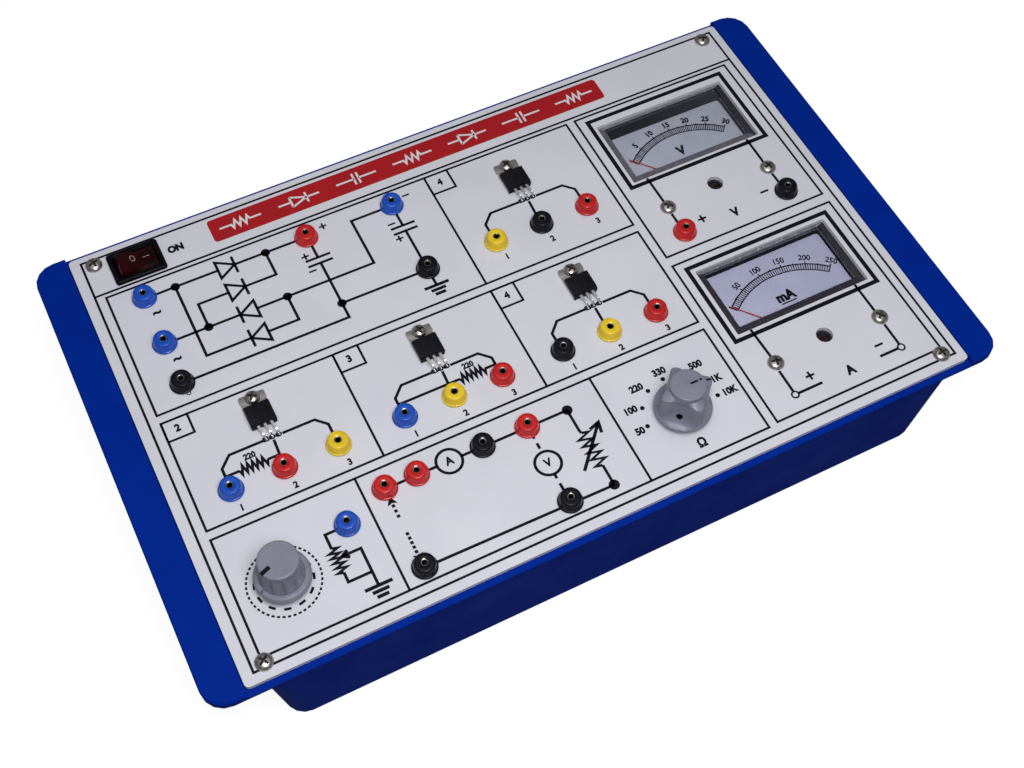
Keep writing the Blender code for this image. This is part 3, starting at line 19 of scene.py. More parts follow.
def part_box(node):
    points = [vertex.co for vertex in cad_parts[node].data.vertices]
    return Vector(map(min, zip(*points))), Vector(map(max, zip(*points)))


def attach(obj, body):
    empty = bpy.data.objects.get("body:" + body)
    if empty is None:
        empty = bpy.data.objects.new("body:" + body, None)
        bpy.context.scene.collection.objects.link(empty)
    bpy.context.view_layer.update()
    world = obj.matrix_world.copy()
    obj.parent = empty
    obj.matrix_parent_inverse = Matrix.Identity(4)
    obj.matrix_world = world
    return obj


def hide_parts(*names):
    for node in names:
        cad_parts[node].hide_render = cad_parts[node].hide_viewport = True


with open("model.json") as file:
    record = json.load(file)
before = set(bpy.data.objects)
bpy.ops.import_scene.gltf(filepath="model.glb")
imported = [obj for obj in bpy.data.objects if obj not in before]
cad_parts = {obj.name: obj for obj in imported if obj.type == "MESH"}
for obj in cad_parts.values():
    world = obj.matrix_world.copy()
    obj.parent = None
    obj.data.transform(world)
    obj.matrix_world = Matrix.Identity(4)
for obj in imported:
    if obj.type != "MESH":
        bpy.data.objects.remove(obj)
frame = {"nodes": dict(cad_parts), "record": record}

LOG = logging.getLogger("trainer")
Flat = tuple[float, float]
Triple = tuple[float, float, float]
Rows = Sequence[Sequence[Sequence[float]]]
Output = bpy.types.NodeSocket

MM = 0.001
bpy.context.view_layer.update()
PANEL_LOW, PANEL_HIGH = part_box("front_panel")
TO_METRES = Matrix.Translation((PANEL_LOW[0], PANEL_LOW[1], PANEL_HIGH[2])) @ Matrix.Scale(MM, 4)
CLEAR = 0.3
SMOOTH_ANGLE = math.radians(38.0)

# Printing: the ink's height, how far it reaches into its face, and the widths of its lines
INK = 0.04
UNDER = -INK / 4.0
LINE = 1.15
WIDE_LINE = LINE * 1.15
FRAME_LINE = 0.95

# Figures: the text's size over their height, and their width over the plain letters'
TEXT_SIZE = 1.37
NARROW = 0.92

# Spans of a noise or a share that a finish reads
FULL = (0.0, 1.0)
CLOUD_SPAN = (0.35, 0.68)
SHINE_SPAN = (0.3, 0.7)
SPECK_SPAN = (0.72, 0.76)
EVEN = (1.0, 1.0, 1.0)


# Places and outlines


def spot(node: str) -> Flat:
    """Return the middle of a CAD node on the panel, in panel millimetres."""
    low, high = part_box(node)
    return (((low[0] + high[0]) / 2.0 - PANEL_LOW[0]) / MM, ((low[1] + high[1]) / 2.0 - PANEL_LOW[1]) / MM)


def spots(stem: str, *ends: str) -> list[Flat]:
    """Return the middles of CAD nodes whose names share their first part."""
    return [spot(stem + end) for end in ends]


def polar(radius: float, degrees: float, centre: Flat = (0.0, 0.0)) -> Flat:
    """Return the point at a radius and an angle in degrees from a centre."""
    angle = math.radians(degrees)
    return (centre[0] + radius * math.cos(angle), centre[1] + radius * math.sin(angle))


def arc(radius: float, start: float, stop: float, steps: int, centre: Flat = (0.0, 0.0)) -> list[Flat]:
    """Return an arc's points, both ends included, as it is cut into a number of chords."""
    return [polar(radius, start + (stop - start) * k / steps, centre) for k in range(steps + 1)]


def circle(radius: float, sides: int = 48, centre: Flat = (0.0, 0.0)) -> list[Flat]:
    """Return a closed circle's points, anticlockwise."""
    return arc(radius, 0.0, 360.0, sides, centre)[:-1]


def rounded(low: Flat, high: Flat, radius: float = 0.0, steps: int = 5) -> list[Flat]:
    """Return a rectangle with rounded corners.

    Args:
        low: its lower left corner.
        high: its upper right corner.
        radius: the corner radius.
        steps: the chords in each corner.

    Returns:
        The points, anticlockwise from the right side.
    """
    if radius <= 0.0:
        return [(high[0], low[1]), high, (low[0], high[1]), low]
    points = []
    corners = ((high[0], high[1]), (low[0], high[1]), (low[0], low[1]), (high[0], low[1]))
    for turn, (x, y) in enumerate(corners):
        centre = (x - math.copysign(radius, x - low[0] - 1e-9), y - math.copysign(radius, y - low[1] - 1e-9))
        points += arc(radius, 90.0 * turn, 90.0 * turn + 90.0, steps, centre)
    return points


def offset(points: Sequence[Flat], distance: float, closed: bool = True) -> list[Flat]:
    """Shift a path sideways, mitred at its corners.

    Args:
        points: the path.
        distance: how far, to the left of the way it runs.
        closed: whether its last point joins its first.

    Returns:
        The shifted points, one for each.
    """
    moved = []
    last = len(points) - 1
    for k, point in enumerate(points):
        here = Vector(point)
        before = Vector(points[k - 1]) if closed or k > 0 else None
        after = Vector(points[(k + 1) % len(points)]) if closed or k < last else None
        into = (here - before).normalized() if before is not None else (after - here).normalized()
        out = (after - here).normalized() if after is not None else into
        side = Vector((-into.y - out.y, into.x + out.x)).normalized()
        reach = distance / max(0.35, side.dot(Vector((-into.y, into.x))))
        moved.append((here.x + side.x * reach, here.y + side.y * reach))
    return moved


# Finishes


class NodeBoard:
    """Lays out the nodes of one material, or of the world."""

    def __init__(self, owner: Union[bpy.types.Material, bpy.types.World], shader: str) -> None:
        """Take the nodes of a material or world, and its shader by name.

        Args:
            owner: the material or the world.
            shader: its shader's name.
        """
        owner.use_nodes = True
        self.nodes = owner.node_tree.nodes
        self.links = owner.node_tree.links
        self.shader = self.nodes[shader]

    @cached_property
    def place(self) -> Output:
        """Return the object's own coordinates."""
        return self.add("ShaderNodeTexCoord").outputs["Object"]

    def plug(self, socket: Output, value: object) -> None:
        """Link an output to a socket, or set the socket to a value.

        Args:
            socket: the socket.
            value: another node's output, or a value.
        """
        if isinstance(value, Output):
            self.links.new(value, socket)
        else:
            socket.default_value = value

    def add(self, kind: str, sockets: Optional[dict] = None, **settings: object) -> bpy.types.Node:
        """Add a node.

        Args:
            kind: the node's type.
            sockets: input name to a value or to another node's output.
            settings: the node's own settings.

        Returns:
            The node.
        """
        node = self.nodes.new(kind)
        for name, value in settings.items():
            setattr(node, name, value)
        for name, value in (sockets or {}).items():
            self.plug(node.inputs[name], value)
        return node

    def noise(self, size: float, detail: float, stretch: Triple = EVEN) -> Output:
        """Add a noise whose blobs are of a size in millimetres.

        Args:
            size: the size of its blobs.
            detail: its octaves.
            stretch: how much faster it runs along each axis.

        Returns:
            The noise's value.
        """
        place = self.add("ShaderNodeMapping", {"Vector": self.place, "Scale": stretch}).outputs["Vector"]
        sockets = {"Vector": place, "Scale": 1.0 / (size * MM), "Detail": detail, "Roughness": 0.55}
        return self.add("ShaderNodeTexNoise", sockets).outputs[0]

    def between(self, value: Output, span: Flat, result: Flat) -> Output:
        """Map a span of a value to another span, held at its ends."""
        names = ("Value", "From Min", "From Max", "To Min", "To Max")
        return self.add("ShaderNodeMapRange", dict(zip(names, (value, *span, *result)))).outputs[0]

    def blend(self, factor: Output, first: object, second: object) -> Output:
        """Mix two colours.

        Args:
            factor: how much of the second.
            first: a colour or an output.
            second: a colour or an output.

        Returns:
            The mixed colour.
        """
        node = self.add("ShaderNodeMix", data_type="RGBA")
        for index, value in ((0, factor), (6, first), (7, second)):
            self.plug(node.inputs[index], value if isinstance(value, Output) else (*value, 1.0))
        return node.outputs[2]

    def seen_rays(self) -> tuple[dict, Output]:
        """Add a light path.

        Returns:
            Its outputs, and a value that is 1 for what the camera sees, through the panes too.
        """
        path = self.add("ShaderNodeLightPath").outputs
        rays = {0: path["Is Camera Ray"], 1: path["Is Transmission Ray"]}
        return (path, self.add("ShaderNodeMath", rays, operation="MAXIMUM").outputs[0])

    def feed(self, name: str, value: object) -> None:
        """Set or link one of the shader's inputs."""
        self.plug(self.shader.inputs[name], value)

    def bump(self, height: Output, depth: float) -> None:
        """Raise the surface by a height from 0 to 1, of a depth in millimetres."""
        node = self.add("ShaderNodeBump", {"Height": height, "Distance": depth * MM, "Strength": 1.0})
        self.feed("Normal", node.outputs[0])


@dataclass(frozen=True)
class Finish:
    """An opaque finish: cloudy colour, uneven shine and a fine grain.

    Its clouds and its grain are sized in millimetres, and so is the grain's depth.
    """

    name: str
    colour: Triple
    shade: Triple
    roughness: Flat = (0.42, 0.55)
    metallic: float = 0.0
    cloud: float = 6.0
    grain: float = 0.3
    depth: float = 0.004
    stretch: Triple = EVEN
    specks: float = 0.0
    speck_colour: Triple = (0.5, 0.5, 0.5)
    specular: float = 0.5

    def material(self) -> bpy.types.Material:
        """Return this finish's material, made on first use.

        Returns:
            The material.
        """
        name = f"{self.name}_finish"
        if name in bpy.data.materials:
            return bpy.data.materials[name]
        material = bpy.data.materials.new(name)
        self.dress(NodeBoard(material, "Principled BSDF"))
        return material

    def dress(self, board: NodeBoard) -> None:
        """Lay out the material's nodes.

        Args:
            board: the material's node board.
        """
        clouds = board.noise(self.cloud, 3.0, self.stretch)
        colour = board.blend(board.between(clouds, CLOUD_SPAN, FULL), self.colour, self.shade)
        grain = board.noise(self.grain, 2.0, self.stretch)
        # Specks of speck_colour; on the meter trim's lit strips they are painted glints
        if self.specks > 0.0:
            spread = board.noise(self.grain * 3.0, 1.0)
            mask = board.between(spread, (SPECK_SPAN[0] - self.specks, SPECK_SPAN[1] - self.specks), FULL)
            colour = board.blend(mask, colour, self.speck_colour)
        board.feed("Base Color", colour)
        board.feed("Metallic", self.metallic)
        board.feed("Roughness", board.between(clouds, SHINE_SPAN, self.roughness))
        board.feed("Specular IOR Level", self.specular)
        board.bump(grain, self.depth)


@dataclass(frozen=True)
class Ink(Finish):
    """A thin, dull print."""

    depth: float = 0.001


@dataclass(frozen=True)
class Metal(Finish):
    """Bare or plated metal."""

    metallic: float = 1.0
    grain: float = 0.25
    depth: float = 0.006


@dataclass(frozen=True)
class SocketPlastic(Finish):
    """The glossy plastic of the sockets."""

    roughness: Flat = (0.22, 0.34)
    cloud: float = 3.0
    grain: float = 0.35
    specular: float = 0.4


@dataclass(frozen=True)
class MeterPlastic(Finish):
    """The speckled moulding of the meters; on the window trim's lit strips its pale specks are painted glints.
    """

    depth: float = 0.006
    specks: float = 0.03


@dataclass(frozen=True)
class DialPaper(Finish):
    """The dull sheet that a scale is printed on."""

    roughness: Flat = (0.45, 0.60)
    cloud: float = 10.0
    grain: float = 0.4
    depth: float = 0.002
    specular: float = 0.3


@dataclass(frozen=True)
class Pane(Finish):
    """A clear moulded pane that lets the lamps through, with faint smears."""

    tint: Triple = (0.96, 0.97, 1.0)
    index: float = 1.45
    facing: float = 0.06
    veil: Flat = (0.003, 0.5)

    def dress(self, board: NodeBoard) -> None:
        """Mix a clear shader with a polished skin that shows where the pane is seen edge on.

        Args:
            board: the material's node board.
        """
        smear = board.noise(self.cloud, 3.0)
        board.feed("Base Color", (*self.colour, 1.0))
        board.feed("Roughness", board.between(smear, SHINE_SPAN, self.roughness))
        board.feed("Specular IOR Level", self.specular)
        clear = board.add("ShaderNodeBsdfTransparent", {"Color": (*self.tint, 1.0)})
        weight = board.add("ShaderNodeFresnel", {"IOR": self.index}).outputs[0]
        veil = board.between(weight, (self.facing, 1.0), self.veil)
        mixed = board.add("ShaderNodeMixShader", {0: veil, 1: clear.outputs[0], 2: board.shader.outputs[0]})
        board.plug(board.nodes["Material Output"].inputs["Surface"], mixed.outputs[0])


@dataclass(frozen=True)
class Glow(Finish):
    """A pale studio surface that the camera sees as white, with the object's shadow kept."""

    strength: float = 0.6

    def dress(self, board: NodeBoard) -> None:
        """Add light for camera and transmission rays to a plain diffuse floor.

        Args:
            board: the material's node board.
        """
        seen = board.seen_rays()[1]
        tone = board.noise(self.cloud, 2.0)
        board.feed("Base Color", board.blend(tone, self.colour, self.shade))
        board.feed("Roughness", self.roughness[1])
        board.feed("Emission Color", (1.0, 1.0, 1.0, 1.0))
        board.feed("Emission Strength", board.between(seen, FULL, (0.0, self.strength)))


TRAY_BLUE = Finish("tray_blue", (0.0, 0.022, 0.275), (0.0, 0.018, 0.240), (0.42, 0.54), cloud=25.0, grain=0.45,
                   depth=0.010, specular=0.03)
PANEL_WHITE = Finish("panel_white", (0.640, 0.645, 0.705), (0.605, 0.610, 0.670), (0.38, 0.50), cloud=30.0,
                     grain=0.8, depth=0.002, specular=0.3)
INK_BLACK = Ink("ink_black", (0.004, 0.004, 0.008), (0.008, 0.007, 0.012), specular=0.08)
INK_RED = Ink("ink_red", (0.390, 0.006, 0.010), (0.340, 0.005, 0.009), (0.40, 0.52), cloud=14.0, grain=0.4,
              depth=0.002, specular=0.3)
INK_WHITE = Ink("ink_white", (0.700, 0.690, 0.720), (0.620, 0.610, 0.650), cloud=5.0)
SWITCH_MARK = Ink("switch_mark", (0.440, 0.300, 0.310), (0.340, 0.220, 0.230), (0.40, 0.50), cloud=1.0,
                  grain=0.2)

NICKEL = Metal("nickel", (0.600, 0.575, 0.540), (0.430, 0.410, 0.390), (0.18, 0.34), cloud=1.6)
SOCKET_LINER = Metal("socket_liner", (0.300, 0.285, 0.265), (0.130, 0.120, 0.112), (0.16, 0.30), cloud=1.0,
                     grain=0.2)
SCREW_NICKEL = Metal("screw_nickel", (0.560, 0.520, 0.500), (0.290, 0.262, 0.252), (0.20, 0.36), cloud=1.4,
                     depth=0.008)
# Dark copy of the screw metal for the cross recess: painted shade of the recess
SCREW_RECESS_SHADE = Metal("screw_recess_shade", (0.095, 0.085, 0.082), (0.050, 0.044, 0.042), (0.35, 0.50), 0.6,
                     cloud=1.0)
TINNED = Metal("tinned_copper", (0.800, 0.790, 0.780), (0.580, 0.570, 0.565), (0.32, 0.48), cloud=0.8,
               grain=0.2, depth=0.008)
TAB_STEEL = Metal("tab_plating", (0.560, 0.535, 0.515), (0.400, 0.380, 0.368), (0.30, 0.44), cloud=2.0,
                  grain=0.3, depth=0.004, stretch=(1.0, 6.0, 1.0))
PLATED_STEEL = Metal("plated_steel", (0.500, 0.500, 0.520), (0.380, 0.380, 0.400), (0.30, 0.45), cloud=5.0,
                     grain=0.4, depth=0.004)
CORE_IRON = Metal("core_iron", (0.090, 0.080, 0.072), (0.140, 0.090, 0.050), (0.40, 0.60), 0.6, cloud=6.0,
                  grain=0.4, depth=0.020, stretch=(1.0, 8.0, 1.0))

SOCKET_BLUE = SocketPlastic("socket_blue", (0.004, 0.078, 0.500), (0.003, 0.056, 0.400))
SOCKET_RED = SocketPlastic("socket_red", (0.560, 0.008, 0.008), (0.440, 0.006, 0.008))
SOCKET_YELLOW = SocketPlastic("socket_yellow", (0.800, 0.570, 0.015), (0.690, 0.460, 0.012), (0.24, 0.36))
SOCKET_BLACK = SocketPlastic("socket_black", (0.003, 0.003, 0.006), (0.006, 0.006, 0.010), (0.24, 0.38),
                             specular=0.15)

PACKAGE_BLACK = Finish("package_black", (0.004, 0.004, 0.007), (0.008, 0.007, 0.011), (0.42, 0.60), cloud=2.5,
                       grain=0.15, depth=0.010, specular=0.12)
SWITCH_BLACK = Finish("switch_black", (0.002, 0.002, 0.004), (0.005, 0.004, 0.007), (0.22, 0.34), cloud=4.0,
                      specular=0.06)
ROCKER_RED = Finish("rocker_red", (0.028, 0.001, 0.003), (0.006, 0.001, 0.001), (0.10, 0.20), cloud=5.0,
                    grain=0.4, depth=0.003, specular=0.10)
KNOB_GREY = Finish("knob_grey", (0.205, 0.205, 0.268), (0.178, 0.178, 0.236), (0.34, 0.46), cloud=7.0,
                   depth=0.006, specular=0.4)
BOARD_GREEN = Finish("board_green", (0.020, 0.110, 0.045), (0.030, 0.140, 0.055), (0.30, 0.45), grain=0.5,
                     depth=0.010)

BEZEL_DARK = MeterPlastic("bezel_dark", (0.022, 0.018, 0.030), (0.014, 0.012, 0.020), (0.28, 0.42), cloud=9.0,
                          depth=0.005, speck_colour=(0.10, 0.09, 0.12))
# Paler copy of the meters' dark moulding for the window trim's lit strips: painted sheen, its pale specks
# painted glints
BEZEL_PAINTED_SHEEN = MeterPlastic("bezel_painted_sheen", (0.120, 0.112, 0.140), (0.080, 0.074, 0.098), (0.30, 0.45), cloud=5.0,
                         speck_colour=(0.30, 0.29, 0.34))
# Much paler copy of the meters' moulding for the trim's top strip: painted highlight, its pale specks painted
# glints
BEZEL_PAINTED_HIGHLIGHT = MeterPlastic("bezel_painted_highlight", (0.210, 0.205, 0.238), (0.125, 0.120, 0.148), (0.25, 0.40),
                           cloud=4.0, specks=0.05, speck_colour=(0.62, 0.61, 0.66))
ADJUSTER_BROWN = Finish("adjuster_brown", (0.020, 0.013, 0.011), (0.011, 0.008, 0.008), (0.35, 0.50),
                        cloud=1.5, grain=0.2, depth=0.006, specular=0.2)
# Near-black, dull backing round the dial paper: painted shade of the meter's hollow above and around the dial
DIAL_SHADE_SHEET = Finish("dial_painted_shade", (0.010, 0.009, 0.013), (0.006, 0.005, 0.009), (0.55, 0.70), cloud=8.0,
                   specular=0.05)
DIAL_GREY = DialPaper("dial_grey", (0.505, 0.505, 0.540), (0.460, 0.460, 0.495))
DIAL_LILAC = DialPaper("dial_lilac", (0.525, 0.508, 0.620), (0.480, 0.462, 0.570))
POINTER_RED = Finish("pointer_red", (0.560, 0.030, 0.030), (0.430, 0.020, 0.022), (0.40, 0.50), cloud=2.0,
                     grain=0.2, depth=0.002)
CLEAR_PANE = Pane("clear_pane", (0.22, 0.23, 0.26), (0.2, 0.2, 0.2), (0.05, 0.14), cloud=14.0, specular=0.3)

STUDIO_WHITE = Glow("studio_white", (0.18, 0.18, 0.19), (0.17, 0.17, 0.18), (0.8, 0.9), cloud=200.0,
                    strength=0.90)

Finishes = Union[Finish, Sequence[Finish]]

# What each material slot of the record wears
SLOT_FINISHES = {"tray_blue": TRAY_BLUE, "panel_white": PANEL_WHITE, "nickel": NICKEL, "black": SOCKET_BLACK,
                 "blue": SOCKET_BLUE, "red": SOCKET_RED, "yellow": SOCKET_YELLOW,
                 "package_black": PACKAGE_BLACK, "switch_black": SWITCH_BLACK, "rocker_red": ROCKER_RED,
                 "knob_grey": KNOB_GREY, "plated_steel": PLATED_STEEL, "meter_black": BEZEL_DARK,
                 "dial_grey": DIAL_GREY, "pointer_red": POINTER_RED, "clear_acrylic": CLEAR_PANE,
                 "iron_core": CORE_IRON, "board_green": BOARD_GREEN}


class Colour(Enum):
    """The colours that the sockets come in, under the names of their slots."""

    BLUE = "blue"
    RED = "red"
    YELLOW = "yellow"
    BLACK = "black"

    def finish(self) -> Finish:
        """Return the plastic of this colour."""
        return SLOT_FINISHES[self.value]


# Shapes


class Shape:
    """Collects solids in panel millimetres, each with its finish, and makes one piece of them."""

    def __init__(self, name: str) -> None:
        """Start an empty shape under the name that its piece will have.

        Args:
            name: the name.
        """
        self.name = name
        self.model = bmesh.new()
        self.finishes: list[Finish] = []
        self.local = Matrix.Identity(4)

    def move_to(self, x: float, y: float, z: float = 0.0, turn: float = 0.0) -> "Shape":
        """Set the place and the turn in degrees that the next solids are laid out from."""
        self.local = Matrix.Translation((x, y, z)) @ Matrix.Rotation(math.radians(turn), 4, "Z")
        return self

    def slot_of(self, finish: Finish) -> int:
        """Return the finish's place in the piece's material slots.

        Args:
            finish: the finish.

        Returns:
            Its place.
        """
        if finish not in self.finishes:
            self.finishes.append(finish)
        return self.finishes.index(finish)

    def loft(self, rows: Rows, finishes: Finishes, loop: bool = False) -> None:
        """Bridge rings of equal count, and close both ends unless the run is a loop.

        Args:
            rows: the rings, each a list of points.
            finishes: one finish, or one for each band between two rings.
            loop: whether the last ring joins the first.
        """
        bands = len(rows) if loop else len(rows) - 1
        slots = [self.slot_of(f) for f in ([finishes] * bands if isinstance(finishes, Finish) else finishes)]
        rings = [[self.model.verts.new(self.local @ Vector(point)) for point in row] for row in rows]
        count = len(rings[0])
        for band in range(bands):
            lower, upper = rings[band], rings[(band + 1) % len(rings)]
            for k in range(count):
                after = (k + 1) % count
                face = self.model.faces.new((lower[k], lower[after], upper[after], upper[k]))
                face.material_index = slots[band]
        if not loop:
            self.model.faces.new(list(reversed(rings[0]))).material_index = slots[0]
            self.model.faces.new(rings[-1]).material_index = slots[-1]

    def stack(self, layers: Sequence[tuple[Sequence[Flat], float]], finishes: Finishes,
              loop: bool = False) -> None:
        """Loft flat outlines, each with its height, that lie above each other."""
        self.loft([[(x, y, z) for x, y in outline] for outline, z in layers], finishes, loop)

    def prism(self, outline: Sequence[Flat], low: float, high: float, finish: Finish,
              edge: float = 0.0) -> None:
        """Raise an outline, with a rounded upper edge where one is asked for.

        Args:
            outline: the outline, anticlockwise.
            low: the lower face's height.
            high: the upper face's height.
            finish: its finish.
            edge: the radius of the upper edge.
        """
        layers = [(outline, low), (outline, high - edge)]
        for step in (30.0, 60.0, 90.0) if edge > 0.0 else ():
            angle = math.radians(step)
            inset = offset(outline, edge * (1.0 - math.cos(angle)))
            layers.append((inset, high - edge * (1.0 - math.sin(angle))))
        self.stack(layers, finish)

    def turned(self, profile: Sequence[Flat], finishes: Finishes, sides: int, loop: bool = False,
               place: Flat = (0.0, 0.0)) -> None:
        """Turn a profile of radius and height about an upright axis at a place."""
        self.stack([(circle(radius, sides, place), z) for radius, z in profile], finishes, loop)

    def line(self, points: Sequence[Flat], width: float = LINE, finish: Finish = INK_BLACK,
             closed: bool = False, low: float = UNDER, high: float = INK) -> None:
        """Draw a flat line of even width along a path.

        Args:
            points: the path.
            width: the line's width.
            finish: its ink.
            closed: whether the path comes back to its start.
            low: the height of its underside.
            high: the height of its top.
        """
        left = offset(points, width / 2.0, closed)
        right = offset(points, -width / 2.0, closed)
        rows = [[(*r, low), (*a, low), (*a, high), (*r, high)] for a, r in zip(left, right)]
        self.loft([list(reversed(row)) for row in rows], finish, closed)

    def words(self, text: str, size: float, place: Flat, turn: float = 0.0, weight: float = 0.08,
              level: float = 0.0) -> None:
        """Print figures, centred on a place.

        Args:
            text: the figures.
            size: their height.
            place: the middle of the text.
            turn: degrees anticlockwise.
            weight: how much the strokes are thickened, as a share of the size.
            level: the height of the face that they are printed on.
        """
        letters = bpy.data.curves.new("figures", "FONT")
        letters.body = text
        letters.align_x = "CENTER"
        letters.align_y = "CENTER"
        letters.size = size * TEXT_SIZE
        letters.offset = weight * size
        letters.extrude = INK / 2.0
        letters.resolution_u = 3
        item = linked("figures", letters)
        mesh = evaluated(item)
        spin = Matrix.Rotation(math.radians(turn), 4, "Z") @ Matrix.Diagonal((NARROW, 1.0, 1.0, 1.0))
        mesh.transform(self.local @ Matrix.Translation((*place, level + INK / 2.0)) @ spin)
        self.take(mesh, INK_BLACK)
        bpy.data.objects.remove(item, do_unlink=True)
        bpy.data.curves.remove(letters)

    def take(self, mesh: bpy.types.Mesh, *finishes: Finish) -> None:
        """Add a mesh that is already in place, and drop it.

        Args:
            mesh: the mesh.
            finishes: the finish of each of its material slots.
        """
        before = len(self.model.faces)
        self.model.from_mesh(mesh)
        self.model.faces.ensure_lookup_table()
        slots = [self.slot_of(finish) for finish in finishes]
        for face in self.model.faces[before:]:
            face.material_index = slots[min(face.material_index, len(slots) - 1)]
        bpy.data.meshes.remove(mesh)

    def mesh(self) -> bpy.types.Mesh:
        """Return the mesh in panel millimetres, with its finishes.

        Returns:
            The mesh.
        """
        bmesh.ops.recalc_face_normals(self.model, faces=self.model.faces)
        mesh = bpy.data.meshes.new(self.name)
        self.model.to_mesh(mesh)
        self.model.free()
        for finish in self.finishes:
            mesh.materials.append(finish.material())
        return mesh

    def build(self, body: str, slot: str, replaced: Sequence[str] = ()) -> bpy.types.Object:
        """Make the piece, in metres and in its place.

        Args:
            body: the CAD body that it rides on.
            slot: the record's material slot; not used.
            replaced: the CAD nodes that it stands for.

        Returns:
            The piece.
        """
        mesh = self.mesh()
        mesh.transform(TO_METRES)
        return place_piece(self.name, mesh, body, replaced)


def linked(name: str, data: Optional[bpy.types.ID]) -> bpy.types.Object:
    """Make an object and link it to the scene.

    Args:
        name: the object's name.
        data: its mesh, text, light or camera.

    Returns:
        The object.
    """
    item = bpy.data.objects.new(name, data)
    bpy.context.scene.collection.objects.link(item)
    return item


def evaluated(item: bpy.types.Object) -> bpy.types.Mesh:
    """Return an object's mesh as its modifiers and its text settings make it."""
    bpy.context.view_layer.update()
    return bpy.data.meshes.new_from_object(item.evaluated_get(bpy.context.evaluated_depsgraph_get()))


def place_piece(name: str, mesh: bpy.types.Mesh, body: str,
                replaced: Sequence[str] = ()) -> bpy.types.Object:
    """Put a finished mesh in the scene as a piece that rides on a body.

    Args:
        name: the piece's name.
        mesh: its mesh, in metres and in place.
        body: the CAD body that it rides on.
        replaced: the CAD nodes that it stands for.

    Returns:
        The piece.
    """
    mesh.shade_smooth()
    mesh.set_sharp_from_angle(angle=SMOOTH_ANGLE)
    piece = linked(name, mesh)
    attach(piece, body)
    if replaced:
        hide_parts(*replaced)
    LOG.info("%s rides on %s", name, body)
    return piece


def carved(base: bpy.types.Mesh, tool: bpy.types.Mesh) -> bpy.types.Mesh:
    """Cut one mesh out of another, with the tool's materials on the cut faces.

    Args:
        base: the mesh that is cut.
        tool: the mesh that is taken away.

    Returns:
        The cut mesh, with the base's material slots and then the tool's.
    """
    body, cutter = linked(base.name, base), linked(tool.name, tool)
    step = body.modifiers.new("cut", "BOOLEAN")
    step.object = cutter
    step.operation = "DIFFERENCE"
    step.solver = "EXACT"
    step.material_mode = "TRANSFER"
    mesh = evaluated(body)
    for item in (body, cutter):
        bpy.data.objects.remove(item, do_unlink=True)
    return mesh


# Printing on the panel


